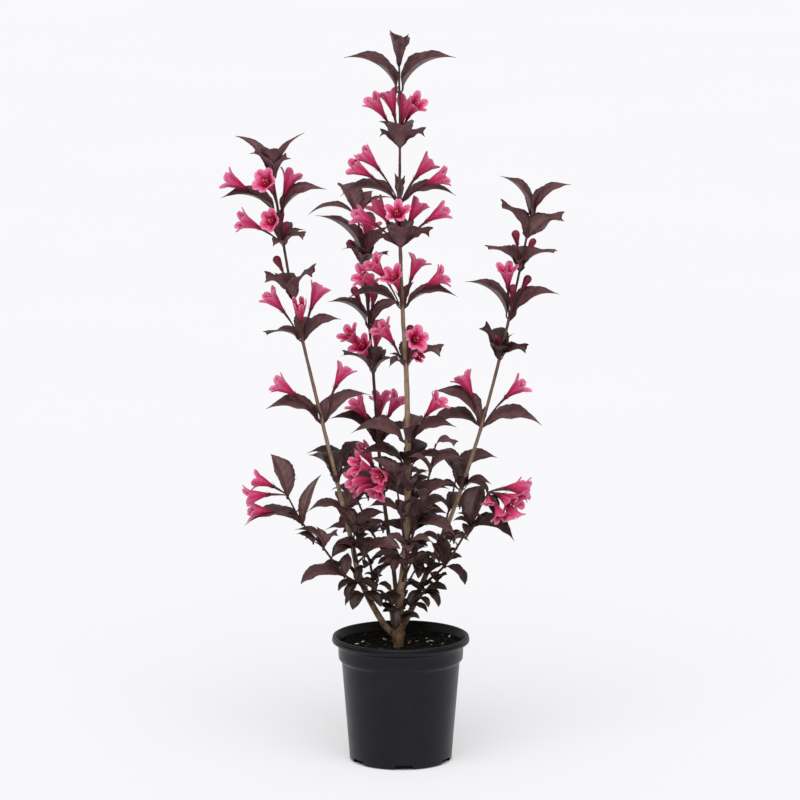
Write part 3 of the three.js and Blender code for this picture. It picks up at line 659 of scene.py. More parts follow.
# Leaves. Each outline gives the width at places along the leaf.
leafForm = {
    "slim": 0.48, "stalkWidth": 0.9, "stalkThick": 0.6, "stalkEnd": 0.1, "thick": 0.24, "leastWidth": 0.12,
    "columns": (-1, -0.55, 0, 0.55, 1), "stations": 23, "innerFold": 9, "outerFold": -12,
    "foldSpan": (0.04, 0.14), "wave": 0.06, "waves": (15, 23, 0.6), "tooth": 0.025, "toothFrom": 0.12,
    "tailNotch": 0.11, "petiole": 2.4, "roundBelow": 262, "broad": [(190, 1.06), (330, 1)],  # by height
    "plain": [
        (0, 0.1), (0.04, 0.2), (0.1, 0.42), (0.18, 0.7), (0.28, 0.93), (0.38, 1.02), (0.5, 1), (0.6, 0.88),
        (0.69, 0.67), (0.77, 0.43), (0.84, 0.23), (0.9, 0.1), (0.95, 0.04), (1, 0.015),
    ],
    # a leaf that twists pinches to a neck and flares to a tail with two corners
    "tail": [
        (0, 0.1), (0.04, 0.22), (0.1, 0.5), (0.18, 0.86), (0.28, 1.1), (0.38, 1.14), (0.48, 1), (0.58, 0.68),
        (0.66, 0.44), (0.74, 0.38), (0.82, 0.48), (0.9, 0.62), (1, 0.7),
    ],
    # a young leaf that stands upright
    "lens": [
        (0, 0.1), (0.1, 0.32), (0.25, 0.74), (0.42, 1.04), (0.58, 1.08), (0.72, 0.9), (0.84, 0.54),
        (0.93, 0.2), (1, 0.02),
    ],
    # broad ones that close round a stem's tip, with a thin horn or none
    "goblet": [
        (0, 0.1), (0.06, 0.14), (0.16, 0.46), (0.3, 0.86), (0.45, 1.14), (0.6, 1.3), (0.7, 1.28),
        (0.78, 0.98), (0.83, 0.56), (0.88, 0.22), (0.94, 0.1), (1, 0.015),
    ],
    "cup": [
        (0, 0.1), (0.12, 0.42), (0.3, 0.86), (0.5, 1.16), (0.68, 1.24), (0.8, 1.1), (0.9, 0.76), (0.96, 0.4),
        (1, 0.08),
    ],
    "bowl": [
        (0, 0.1), (0.08, 0.4), (0.2, 0.86), (0.35, 1.22), (0.5, 1.36), (0.65, 1.26), (0.78, 0.96),
        (0.88, 0.56), (0.95, 0.26), (1, 0.04),
    ],
    "wisp": [
        (0, 0.08), (0.1, 0.26), (0.25, 0.46), (0.4, 0.54), (0.55, 0.48), (0.7, 0.32), (0.82, 0.17),
        (0.92, 0.07), (1, 0.015),
    ],
    # an old low leaf is small and round
    "round": [
        (0, 0.08), (0.08, 0.3), (0.2, 0.76), (0.35, 1), (0.55, 1.04), (0.7, 0.92), (0.82, 0.66),
        (0.91, 0.36), (0.97, 0.12), (1, 0.02),
    ],
}


def leafSheet(row):
    # One leaf's upper face as a grid of stations by columns, and how thick it is there.
    form, line = leafForm, row["line"]
    columns = np.array(form["columns"])
    along = np.concatenate([[0.0], np.linspace(0.03, 1, form["stations"] - 1)])
    stalk = along < form["stalkEnd"]
    width = tabled(form[row["shape"]], along) * line.length * form["slim"]
    width = width * tabled(form["broad"], line.root[2]) / 2
    width *= 1 + form["tooth"] * np.where(np.arange(len(along)) % 2, 1, -1) * (along > form["toothFrom"])
    width = np.maximum(width, np.where(stalk, form["stalkWidth"], form["leastWidth"]))[:, None]
    centre, up = line.at(along)
    centre[0] = row["joint"] - upwards * form["petiole"]
    turn = np.radians(row["roll"] + row["twist"] * along ** 2)[:, None]
    side = line.sideways * np.cos(turn) + up * np.sin(turn)
    up = up * np.cos(turn) - line.sideways * np.sin(turn)
    start, span = form["foldSpan"]
    fold = row["fold"] * np.clip((along - start) / span, 0, 1)
    inner = np.radians(fold + form["innerFold"])[:, None]
    outer = np.radians(fold + form["outerFold"])[:, None]
    half = np.minimum(np.abs(columns), abs(columns[1]))
    rest = np.abs(columns) - half
    across = (half * np.cos(inner) + rest * np.cos(outer)) * width * np.sign(columns)
    raised = (half * np.sin(inner) + rest * np.sin(outer)) * width
    phase = Draw(drawStarts["leaf"] + row["number"]).spread(0, fullTurn)
    slow, quick, share = form["waves"]
    rim = np.abs(columns) == 1
    ripple = np.sin(along * slow + phase)[:, None] * np.sign(columns) * rim
    ripple += np.sin(along * quick + 2 * phase)[:, None] * rim * share
    raised += ripple * form["wave"] * width
    points = centre[:, None] + side[:, None] * across[..., None] + up[:, None] * raised[..., None]
    if row["shape"] == "tail":
        forward = centre[-1] - centre[-2]
        notch = (1 - np.abs(columns))[:, None] * form["tailNotch"] * line.length
        points[-1] -= notch * forward / np.linalg.norm(forward)
    thick = np.repeat(np.where(stalk, form["stalkThick"], form["thick"]), len(columns))
    return points.reshape(-1, 3), thick[:, None]


def makeLeaves(name, rows, finishes):
    columns, stations = leafForm["columns"], leafForm["stations"]
    sheet = gridFaces(stations, len(columns))[:, ::-1]
    places = np.stack([np.tile((np.array(columns) + 1) / 2, stations),
                       np.repeat(np.linspace(0, 1, stations), len(columns))], 1)
    return makeBlades(name, sheet, places, [leafSheet(row) for row in rows], finishes, 1)


# Flowers.
flowerForm = {
    "corolla": 31, "corollaShare": 0.62, "ovary": 13, "ovaryShare": 0.22, "lobes": 5, "columns": 6,
    # the tube: how far along it, its radius
    "tube": [(0, 1.5), (2.8, 1.9), (6, 2.5), (9.2, 3.3), (12.4, 4.3), (15.4, 5.3), (18, 6.2), (20, 6.8)],
    # a lobe: how far out along it, its half width
    "lobe": [(0, 4), (2.6, 4.8), (5.4, 5.4), (8.2, 5.3), (10.8, 4.3), (12.6, 2.4)],
    "pleat": 0.05, "start": 18, "open": (28, 66), "lean": 9, "size": (0.92, 1.08),
    "ruffle": 0.6, "cup": 0.16, "curl": 0.12, "height": 30, "facing": 0.5, "thick": 0.34,
    # how wide and how long its lobes are, and how far turned out where that is set
    "side": (1.02, 1, None), "front": (1.45, 0.88, 1.12), "shut": (0.7, 1, -0.7),
}


def lobedSheet(draw, openness, broad, long):
    # The corolla as an open sheet round +Z.
    form = flowerForm
    lobes, last = form["lobes"], form["lobe"][-1][0]
    count = lobes * form["columns"]
    angles = np.arange(count) * 2 * math.pi / count
    points = []
    for height, radius in form["tube"]:
        pleat = 1 + form["pleat"] * np.cos(lobes * angles) * height / form["tube"][-1][0]
        points.append(np.stack([np.cos(angles) * radius * pleat, np.sin(angles) * radius * pleat,
                                np.full(count, height)], 1))
    share = np.linspace(-1, 1, form["columns"] + 1)
    for lobe in range(lobes):
        middle = (lobe + 0.5) * 2 * math.pi / lobes
        least, most = form["open"]
        finish = least + (most - least) * openness + draw.spread(-form["lean"], form["lean"])
        phase = draw.spread(0, fullTurn)
        grow = draw.spread(*form["size"]) * long
        height, radius = form["tube"][-1]
        done = 0
        for out, half in form["lobe"][1:]:
            lean = math.radians(form["start"] + (finish - form["start"]) * (out / last) ** 0.8)
            radius += (out - done) * grow * math.sin(lean)
            height += (out - done) * grow * math.cos(lean)
            done = out
            half *= broad
            y = share * half * grow
            raised = (share ** 2) * half * form["cup"]
            raised = raised + form["ruffle"] * np.sin(share * 4 + phase) * (out / last)
            back = -(np.abs(share) ** 2.5) * half * form["curl"]
            bow = radius - (1 - np.cos(y / radius)) * radius * (1 - out / last)
            x = bow + back * math.sin(lean) - raised * math.cos(lean)
            z = height + raised * math.sin(lean) + back * math.cos(lean)
            points.append(np.stack([x * math.cos(middle) - y * math.sin(middle),
                                    x * math.sin(middle) + y * math.cos(middle), z], 1))
    return np.concatenate(points)


def lobedFaces():
    # Faces of the open sheet, then each point's place: across its lobe from the middle, and along.
    form = flowerForm
    columns, rings, rows = form["columns"], len(form["tube"]), len(form["lobe"]) - 1
    count = form["lobes"] * columns
    end = form["tube"][-1][0]
    span = end + form["lobe"][-1][0]
    faces = [gridFaces(rings, count, wrap=True)]
    across = np.abs(np.arange(count) % columns / columns * 2 - 1)
    places = [np.stack([across, np.full(count, height / span)], 1) for height, _ in form["tube"]]
    across = np.abs(np.linspace(-1, 1, columns + 1))
    for lobe in range(form["lobes"]):
        brim = (np.arange(columns + 1) + lobe * columns) % count + (rings - 1) * count
        own = rings * count + lobe * rows * (columns + 1) + np.arange(rows * (columns + 1))
        faces.append(np.concatenate([brim, own])[gridFaces(rows + 1, columns + 1)])
        for out, _ in form["lobe"][1:]:
            places.append(np.stack([across, np.full(columns + 1, (end + out) / span)], 1))
    return np.concatenate(faces), np.concatenate(places)


def shareOf(line, organ):
    # the share of a flower's midline that its corolla or ovary takes
    return min(flowerForm[organ] / line.length, flowerForm[organ + "Share"])


def corollaSheet(row):
    # One corolla's outer face on its midline, and how thick it is.
    form, line = flowerForm, row["line"]
    draw = Draw(drawStarts["corolla"] + row["number"])
    corolla = shareOf(line, "corolla")
    usual = "front" if line.bend >= form["facing"] else "side"
    broad, long, openness = form["shut" if row["shape"] == "shut" else usual]
    local = lobedSheet(draw, draw.spread(0, 1) if openness is None else openness, broad, long)
    spin = draw.spread(0, fullTurn)
    x = local[:, 0] * math.cos(spin) - local[:, 1] * math.sin(spin)
    y = local[:, 0] * math.sin(spin) + local[:, 1] * math.cos(spin)
    centre, up = line.at(1 - corolla + local[:, 2] / form["height"] * corolla)
    scale = corolla * line.length / form["height"]
    return centre + (x[:, None] * line.sideways + y[:, None] * up) * scale, form["thick"]


# Shapes grown by node trees.
class Recipe:
    # A Geometry Nodes tree with named inputs, and the run that makes its result a plain mesh.
    def __init__(self, name, **inputs):
        self.tree = bpy.data.node_groups.new(name, "GeometryNodeTree")
        inputs = {"Geometry": ("Geometry", None), **inputs, "Finish": ("Material", None)}
        for label, (kind, value) in inputs.items():
            socket = self.tree.interface.new_socket(label, in_out="INPUT", socket_type="NodeSocket" + kind)
            if value is not None:
                socket.default_value = value
        self.tree.interface.new_socket("Geometry", in_out="OUTPUT", socket_type="NodeSocketGeometry")
        self.start = self.tree.nodes.new("NodeGroupInput")
        self.node = Wire(self.tree).node

    def given(self, label):
        return Wire(self.tree, self.start.outputs[label])

    def attribute(self, name, kind="FLOAT_VECTOR"):
        return self.node("GeometryNodeInputNamedAttribute", {"Name": name}, data_type=kind)

    def close(self, grown):
        real = self.node("GeometryNodeRealizeInstances", {"Geometry": grown})
        done = self.node("GeometryNodeSetMaterial", {"Geometry": real, "Material": self.given("Finish")})
        self.tree.links.new(done.socket, self.tree.nodes.new("NodeGroupOutput").inputs["Geometry"])
        return self

    def closeCopies(self, points, turn, size):
        # a copy of the given shape at every point
        shape = self.node("GeometryNodeObjectInfo", {"Object": self.given("Shape")}, 4)
        turned = self.node("FunctionNodeEulerToRotation", {0: turn})
        return self.close(self.node("GeometryNodeInstanceOnPoints", {
            "Points": points, "Instance": shape, "Rotation": turned, "Scale": size}))

    def run(self, name, carrier, **given):
        modifier = carrier.modifiers.new(name, "NODES")
        modifier.node_group = self.tree
        for socket in self.tree.interface.items_tree:
            if socket.in_out == "INPUT" and socket.name in given:
                modifier[socket.identifier] = given[socket.name]
        return settled(name, carrier)


def limbRecipe():
    # A round bark-covered bar along every line of the carrier, as wide as its points say.
    recipe = Recipe("limb", Sides=("Int", 12), Relief=("Float", 0.0), Grain=("Float", 1.0))
    node = recipe.node
    lines = node("GeometryNodeMeshToCurve", {"Mesh": recipe.given("Geometry")})
    circle = node("GeometryNodeCurvePrimitiveCircle", {"Resolution": recipe.given("Sides"), "Radius": 1.0})
    bars = node("GeometryNodeCurveToMesh", {"Curve": lines, "Profile Curve": circle, "Fill Caps": True,
                                            "Scale": recipe.attribute("radius", "FLOAT")})
    upright = node("GeometryNodeInputPosition").scaled(1, 1, 0.3)
    fissures = node("ShaderNodeTexNoise", {"Vector": upright, "Scale": recipe.given("Grain"), "Detail": 3.0})
    depth = (fissures - 0.5) * recipe.given("Relief")
    normal = node("GeometryNodeInputNormal")
    away = node("ShaderNodeVectorMath", {0: normal, "Scale": depth}, operation="SCALE")
    rough = node("GeometryNodeSetPosition", {"Geometry": bars, "Offset": away})
    return recipe.close(node("GeometryNodeSetShadeSmooth", {"Geometry": rough}))


def placedRecipe():
    # A copy of a small shape at every point of the carrier, turned and sized as the point says.
    recipe = Recipe("placed shapes", Shape=("Object", None))
    points = recipe.node("GeometryNodeMeshToPoints", {"Mesh": recipe.given("Geometry")})
    return recipe.closeCopies(points, recipe.attribute("aim"), recipe.attribute("size"))


def strewnRecipe():
    # Crumbs strewn over the carrier's upper faces, each its own size and turn.
    recipe = Recipe("strewn grains", Shape=("Object", None), Density=("Float", 1000.0),
                    Smallest=("Vector", (1, 1, 1)), Largest=("Vector", (2, 2, 2)), Seed=("Int", 1))
    seed = recipe.given("Seed")
    points = recipe.node("GeometryNodeDistributePointsOnFaces", {
        "Mesh": recipe.given("Geometry"), "Density": recipe.given("Density"), "Seed": seed})
    ranges = ((-0.6, -0.6, 0), (0.6, 0.6, math.tau)), (recipe.given("Smallest"), recipe.given("Largest"))
    turn, size = (recipe.node("FunctionNodeRandomValue", {0: least, 1: most, 8: seed},
                              data_type="FLOAT_VECTOR") for least, most in ranges)
    return recipe.closeCopies(points, turn, size)


limb, placed, strewn = limbRecipe(), placedRecipe(), strewnRecipe()


def discard(*helpers):
    for helper in helpers:
        bpy.data.objects.remove(helper)


def growLimbs(name, lines, finish, sides, relief=0.0, grain=4.0):
    # Bars along lines, each line a list of places with the radius there.
    edges, start = [], 0
    for line in lines:
        edges += [(start + i, start + i + 1) for i in range(len(line) - 1)]
        start += len(line)
    carrier = makeMesh(name + "_lines", [place for line in lines for place, _ in line], edges=edges)
    radius = carrier.data.attributes.new("radius", "FLOAT", "POINT")
    radius.data.foreach_set("value", [width * millimetre for line in lines for _, width in line])
    piece = limb.run(name, carrier, Sides=sides, Relief=relief * millimetre, Grain=1 / (grain * millimetre),
                     Finish=finish)
    discard(carrier)
    return piece


# Finer growth past the solids' joints.
# Young leaves that stand upright at a whorl, in rows like a whorl's.
youngLeaves = {
    "main_whorl_06": [(20, 14, 30), (225, 14, 22)], "main_whorl_08": [(228, 9, 35), (314, 9, 32)],
    "left_whorl_02": [(205, 20, 25), (50, 9, 29)], "right_whorl_03": [(140, 9, 24), (20, 9, 26)],
    "right_whorl_04": [(329, 19, 32)], "back_whorl_07": [(188, 58, 62), (12, 32, 48)],
}
# More flowers at a joint of a flowering shoot, by the joint's name.
fullerJoints = {
    "low_right_shoot 3": [(316, 38, -12, 24), (324, 38, -30, 34)], "flowering_shoot 1": [(206, 62, 10, 14)],
}
spray = {
    "below": 300, "reach": (9, 17), "lift": (3, 12), "leafReach": (12, 22), "leafLift": (1, 12),
    "parting": 72, "sway": 15, "tipLeaf": 0.7, "radii": (0.9, 0.75, 0.55), "bow": 1.0,
}
tints = {"top": 520, "middle": 330, "low": 250}
shootForm = {"steps": 6, "foot": 1.75, "slims": 0.75}
twigLines = []


def tintOf(height, number):
    # plum on the high growth, burgundy in the middle, and darker or olive low down
    if height > tints["top"]:
        return "plum" if number % 4 else "burgundy"
    if height > tints["middle"]:
        return "burgundy" if number % 3 else "deep"
    if height > tints["low"]:
        return "deep" if number % 2 else "burgundy"
    return "olive"


def addSpray(centre, number):
    # A twiglet with two opposite small leaves and a young one at its tip.
    draw = Draw(drawStarts["spray"] + number)
    bearing = draw.spread(0, 360)
    tip = centre + spoke(bearing) * draw.spread(*spray["reach"]) + upwards * draw.spread(*spray["lift"])
    twigLines.append(list(zip((centre, (centre + tip) / 2 + upwards * spray["bow"], tip), spray["radii"])))
    rows = []
    for turn in (spray["parting"], -spray["parting"], 0):
        size = 1 if turn else spray["tipLeaf"]
        rows.append((bearing + turn + draw.spread(-spray["sway"], spray["sway"]),
                     draw.spread(*spray["leafReach"]) * size, draw.spread(*spray["leafLift"])))
    growJoint([rows], tip, 0, draw, "olive" if centre[2] < tints["low"] else "deep")


# The plant, joint by joint.
count, sprayCount = 0, 0
sprayTints = {}
for stemName, itsWhorls in whorls.items():
    for name, (height, *rows) in itsWhorls.items():
        count += 1
        centre, radius = stemAt(stemName, height)
        tint = sprayTints[name] = tintOf(height, count)
        growJoint(rows, centre, radius + collarSeat, Draw(count), tint, name)
        if name in youngLeaves:
            growJoint([youngLeaves[name]], centre, radius, Draw(drawStarts["young"] + count), tint)

for name, (stemName, height, path, joints) in (shoots | sprigs).items():
    count += 1
    places = np.array([stemAt(stemName, height)[0], *path], float)
    tint = tintOf(path[-1][2], count)
    if name in shoots:
        sprayTints[name] = tint
    draw = Draw(count)
    steps = shootForm["steps"] * len(path)
    twigLines.append([(curvePoint(places, i / steps), shootForm["foot"] - shootForm["slims"] * i / steps)
                      for i in range(steps + 1)])
    for i, rows in enumerate(joints):
        centre = curvePoint(places, (i + 1) / len(path))
        jointName = name + " " + str(i)
        growJoint(rows, centre, 0, draw, tint, jointName)
        growJoint([(), fullerJoints.get(jointName, ())], centre, 0, draw, tint)
        if centre[2] < spray["below"]:
            sprayCount += 1
            addSpray(centre, sprayCount)
leafRows, flowerRows, budRows = organs.values()
print(len(leafRows), "leaves,", len(flowerRows), "flowers and", len(budRows), "buds are placed")


# Stems: each bark's wood and young growth, dark and light, and the height where it turns young.
barks = {
    "main": (((122, 100, 80), (176, 150, 124)), ((70, 46, 45), (100, 68, 66)), 575),
    "left": (((112, 94, 78), (160, 136, 114)), ((66, 42, 42), (94, 64, 62)), 480),
    "right": (((104, 86, 70), (152, 128, 106)), ((62, 40, 40), (90, 60, 58)), 480),
    "back": (((60, 46, 36), (96, 75, 58)), ((56, 34, 36), (80, 52, 50)), 380),
}
swelling = {"size": 0.17, "width": 3.2, "step": 3.0}  # at every joint
# how much thicker each stem is drawn at its foot, and from this share of the way up
barkBulk = {
    "main_stem": (1, 1.14), "left_stem": (1, 1.26), "right_stem": (1.05, 1.26), "back_stem": (1, 1.14),
    "from": 0.35,
}


def stemLine(name):
    # The stem's middle line and radii, swollen at every joint.
    places = stemPlaces(name)
    steps = int((places[-1][2] - places[0][2]) / swelling["step"])
    line = []
    for along in (i / steps for i in range(steps + 1)):
        place = curvePoint(places, along)
        swell = sum(math.exp(-((place[2] - height) / swelling["width"]) ** 2)
                    for height, *_ in whorls[name].values())
        bulk = np.interp(along, (0, barkBulk["from"]), barkBulk[name])
        line.append((place, stemRadius(name, along) * bulk * (1 + swelling["size"] * swell)))
    return line


def baseLines(line):
    # The main stem's line led down into the mix, and the swollen foot.
    middle = np.array([stemBase["x"], 0, 0])
    buried = [(middle + upwards * height, radius) for height, radius in stemBase["buried"]]
    low, tall = stemBase["low"], stemBase["top"] - stemBase["low"]
    foot = [(middle + upwards * (low + tall * share), tabled(stemBase["rings"], share))
            for share in np.linspace(0, 1, stemBase["sections"])]
    return [buried + line, foot]


barkPieces = {}
for side, bark in barks.items():
    name, line = side + "_bark", stemLine(side + "_stem")
    lines, relief = (baseLines(line), 1.8) if side == "main" else ([line], 1.1)
    barkPieces[side] = growLimbs(name, lines, barkFinish(name, *bark), 18, relief, grain=5)
twigFinish = plainFinish("young_twig", (54, 30, 29), (80, 49, 45), 3, 0.55)
twigs = growLimbs("twigs", twigLines, twigFinish, 8, relief=0.2, grain=3)
print("stems and twigs are grown")


# Foliage: each tint's upper face and underside, dark and light, and the tone of its ribs.
leafTones = {
    "plum": ((73, 43, 47), (96, 61, 65), (86, 58, 62), (106, 77, 81), (132, 78, 82)),
    "burgundy": ((73, 47, 50), (94, 64, 65), (84, 61, 63), (105, 81, 82), (124, 80, 78)),
    "deep": ((35, 16, 17), (61, 34, 34), (50, 30, 31), (76, 54, 53), (92, 54, 51)),
    "olive": ((32, 19, 16), (52, 34, 28), (43, 30, 25), (66, 50, 41), (76, 52, 44)),
}
leafPieces = {}
for tint, (dark, light, underDark, underLight, rib) in leafTones.items():
    finishes = (leafFinish(tint + "_leaf", dark, light, rib),
                leafFinish(tint + "_underside", underDark, underLight, rib))
    rows = [row for row in leafRows if row["tint"] == tint]
    leafPieces[tint] = makeLeaves(tint + "_leaves", rows, finishes)
print("leaves are cut and hung")


# Blossom.
petalTones = {
    "petal_outside": [
        (0, (98, 14, 40)), (0.12, (124, 18, 50)), (0.28, (165, 30, 74)), (0.46, (186, 40, 87)),
        (0.62, (197, 57, 104)), (0.8, (213, 90, 134)), (1, (226, 126, 161)),
    ],
    "petal_inside": [
        (0, (150, 8, 44)), (0.46, (168, 12, 54)), (0.62, (182, 24, 70)), (0.7, (204, 60, 108)),
        (0.82, (224, 106, 149)), (1, (236, 152, 186)),
    ],
}
stalk = {"steps": 9, "radii": (0.8, 1.0, 1.45, 1.65), "foot": 0.7}
petalEdge = (197, 100, 146)
stamen = {
    "count": 5, "apart": 2.6, "reach": (0.66, 0.1), "sway": 0.3, "stations": 6, "radius": 0.22,
    "anther": 0.4, "antherLength": 2.2,
}
style = {"apart": 0.3, "longer": 0.16, "knob": 0.7}
budForm = {
    "length": 20, "share": 0.7, "grownLength": 44, "stalk": (0.65, 1.25), "stalkStations": 6,
    "profile": [(0, 1.4), (0.25, 2.3), (0.5, 3.8), (0.7, 4.9), (0.85, 4.8), (0.96, 3), (1, 1)],
}
calyx = {
    "lobes": 5, "length": 8, "lean": 30, "seat": 0.9, "bow": 0.9, "size": (0.85, 1.1), "budSize": 0.75,
    # a lobe: how far along it, its half width and thickness
    "rows": [(0, 0.75, 0.3), (0.3, 0.7, 0.28), (0.65, 0.45, 0.2), (1, 0.08, 0.05)],
}
stalkLines, stamenLines, antherLines, budLines = [], [], [], []
calyxPlaces = []  # each lobe's place, turn and size


def addCalyx(line, along, spin, size):
    # five narrow lobes spread round the foot of a corolla or bud
    (centre,), (up,) = line.at(along)
    forward = np.cross(line.sideways, up)
    lean = math.radians(calyx["lean"])
    for lobe in range(calyx["lobes"]):
        angle = spin + lobe * math.tau / calyx["lobes"]
        radial = math.cos(angle) * line.sideways + math.sin(angle) * up
        axis = forward * math.cos(lean) + radial * math.sin(lean)
        side = np.cross(forward, radial)
        turn = Matrix(np.stack([side, np.cross(axis, side), axis], 1).tolist())
        calyxPlaces.append((centre + radial * calyx["seat"], tuple(turn.to_euler()), (size, size, size)))


def addStamens(line, corolla, draw):
    # five stamens round a longer style
    scale = corolla * line.length / flowerForm["height"]
    for number in range(stamen["count"] + 1):
        isStyle = number == stamen["count"]
        angle = number * math.tau / stamen["count"] + draw.spread(-stamen["sway"], stamen["sway"])
        apart = (style if isStyle else stamen)["apart"] * scale
        least, more = stamen["reach"]
        top = least + draw.spread(0, more) + (style["longer"] if isStyle else 0)
        centres, ups = line.at(1 - corolla + corolla * np.linspace(0.1, top, stamen["stations"]))
        spread = np.linspace(0.2, 1, stamen["stations"])[:, None] * apart
        strand = centres + spread * (math.cos(angle) * line.sideways + math.sin(angle) * ups)
        stamenLines.append([(place, stamen["radius"]) for place in strand])
        end, step = strand[-1], strand[-1] - strand[-2]
        tip = end + step / np.linalg.norm(step) * stamen["antherLength"]
        knob = style["knob"] if isStyle else stamen["anther"]
        antherLines.append([(end, knob * 0.5), (end * 0.7 + tip * 0.3, knob),
                            (end * 0.3 + tip * 0.7, knob * 0.95), (tip, knob * 0.4)])


petals = [petalFinish(name, tones, petalEdge) for name, tones in petalTones.items()]
sheet, places = lobedFaces()
corollas = makeBlades("corollas", sheet, places, [corollaSheet(row) for row in flowerRows], petals, 0)
for row in flowerRows:
    line = row["line"]
    draw = Draw(drawStarts["strands"] + row["number"])
    corolla, ovary = shareOf(line, "corolla"), shareOf(line, "ovary")
    end = 1 - corolla
    ways = np.linspace(0, end, stalk["steps"])
    radii = np.interp(ways, [0, max(end - ovary, 0.01), end - ovary * 0.5, end], stalk["radii"])
    stalkLines.append([(row["joint"], stalk["foot"]), *zip(line.at(ways)[0], radii)])
    addCalyx(line, end - 0.01, draw.spread(0, fullTurn), draw.spread(*calyx["size"]))
    addStamens(line, corolla, draw)
for row in budRows:
    line = row["line"]
    share = min(budForm["length"] / line.length, budForm["share"])
    ways = np.linspace(0, 1 - share, budForm["stalkStations"])
    radii = np.linspace(*budForm["stalk"], budForm["stalkStations"])
    stalkLines.append([(row["joint"], stalk["foot"]), *zip(line.at(ways)[0], radii)])
    along, radii = np.transpose(budForm["profile"])
    grown = min(1, line.length / budForm["grownLength"])
    budLines.append(list(zip(line.at(1 - share + share * along)[0], radii * grown)))
    addCalyx(line, 1 - share, row["number"], calyx["budSize"])

# lines, sides, then the finish: its name, dark and light tones, grain and roughness
strands = {
    "flower_stalks": (stalkLines, 7, ("maroon_stalk", (70, 30, 38), (96, 46, 52), 2, 0.5)),
    "buds": (budLines, 12, ("bud", (98, 16, 40), (134, 28, 58), 4, 0.45)),
    "stamens": (stamenLines, 4, ("filament", (206, 50, 104), (226, 84, 132), 2, 0.5)),
    "anthers": (antherLines, 6, ("anther", (222, 150, 160), (240, 190, 190), 0.6)),
}
strandPieces = [growLimbs(name, lines, plainFinish(*finish), sides)
                for name, (lines, sides, finish) in strands.items()]


def calyxShape():
    # one narrow lobe, standing on +Z
    points = []
    for share, half, thick in calyx["rows"]:
        height, bow = share * calyx["length"], calyx["bow"] * share ** 2
        points += [(x, bow + y, height) for x, y in ((half, 0), (0, -thick), (-half, 0), (0, thick))]
    last = len(points) - 4
    faces = gridFaces(len(calyx["rows"]), 4, wrap=True).tolist()
    return makeMesh("calyx_lobe", points, faces + [[3, 2, 1, 0], [last, last + 1, last + 2, last + 3]])


points, aims, sizes = zip(*calyxPlaces)
carrier = makeMesh("calyx_points", points)
for label, rows in (("aim", aims), ("size", sizes)):
    attribute = carrier.data.attributes.new(label, "FLOAT_VECTOR", "POINT")
    attribute.data.foreach_set("vector", np.array(rows, np.float32).ravel())
lobeShape = calyxShape()
calyxFinish = plainFinish("calyx_green", (86, 30, 40), (112, 44, 54), 2, 0.5)
calyxes = placed.run("calyx_lobes", carrier, Shape=lobeShape, Finish=calyxFinish)
discard(lobeShape, carrier)
print("flowers and buds are open")


# The pot.
pot = {
    "floor": 2.6, "footRadius": 57.8, "footRound": 3, "bodyLow": 60.8, "sides": 144, "crease": 38,
    # out and up from the foot, over the rolled rim and down inside: radius and height
    "outside": [
        (61.9, 17), (63.1, 32), (64.4, 48), (65.7, 64), (67, 80), (68.3, 96), (69.4, 110), (70, 117.6),
        (70.3, 118.9), (71, 119.9), (72.1, 120.8), (73.1, 121.8), (73.7, 123), (73.9, 124.6), (74.2, 131),
        (74.2, 137), (74.6, 138.2), (75.8, 139.3), (77.9, 140.7), (80.1, 142), (81.2, 142.9), (81.6, 144),
        (81.6, 145.4), (81.3, 146.2), (80.6, 146.6), (80.5, 147), (81, 147.7), (81, 148.6), (80.5, 149.4),
        (79.6, 149.9), (78.6, 150),
    ],
    "inside": [
        (77.5, 149.8), (76.8, 149.2), (76.1, 148), (74.2, 144.6), (72.5, 141.6), (72.1, 140.4),
        (72.1, 124.4), (71.4, 122.9), (69, 120.6), (68.2, 118.6), (63.2, 60), (58.6, 6), (56, 2.6),
    ],
    "notches": 6, "notchLow": -3, "notchHigh": 5.6, "notchWidth": (25, 20), "notchReach": 16,
    "notchTurn": 273.5,
    "seamTurn": 271, "seamHeight": 0.6, "seamWidth": 1.1,
}


def latheFaces(rings, sides):
    # Faces of a turned shape: a point on its axis, rings of points round it, and a last point on the axis.
    turn = [(i, (i + 1) % sides) for i in range(sides)]
    faces = [[low + i, low + after, low + after + sides, low + i + sides]
             for low in range(1, 1 + (rings - 1) * sides, sides) for i, after in turn]
    last = 1 + (rings - 1) * sides
    return (faces + [[0, 1 + after, 1 + i] for i, after in turn]
            + [[last + i, last + after, last + sides] for i, after in turn])


def notchCutter(finishes):
    # Six blocks with leaning sides round the foot.
    points, faces = [], []
    low, high = pot["notchWidth"]
    outline = [(way * width / 2, height) for width, height, ways in
               ((low, pot["notchLow"], (-1, 1)), (high, pot["notchHigh"], (1, -1))) for way in ways]
    for number in range(pot["notches"]):
        out = spoke(pot["notchTurn"] + 360 / pot["notches"] * number)
        side = np.array([-out[1], out[0], 0])
        start = len(points)
        for way in (-0.5, 0.5):
            middle = out * (pot["bodyLow"] + way * pot["notchReach"])
            points += [middle + side * half + upwards * height for half, height in outline]
        for corners in ((3, 2, 1, 0), (4, 5, 6, 7), (0, 1, 5, 4), (1, 2, 6, 5), (2, 3, 7, 6), (3, 0, 4, 7)):
            faces.append([start + corner for corner in corners])
    # the notches' cut faces take the darker plastic: painted shade
    cutter = makeMesh("notches", points, faces, finishes=finishes, zones=[1] * len(faces))
    shape = bmesh.new()
    shape.from_mesh(cutter.data)
    bmesh.ops.recalc_face_normals(shape, faces=shape.faces)
    shape.to_mesh(cutter.data)
    shape.free()
    return cutter


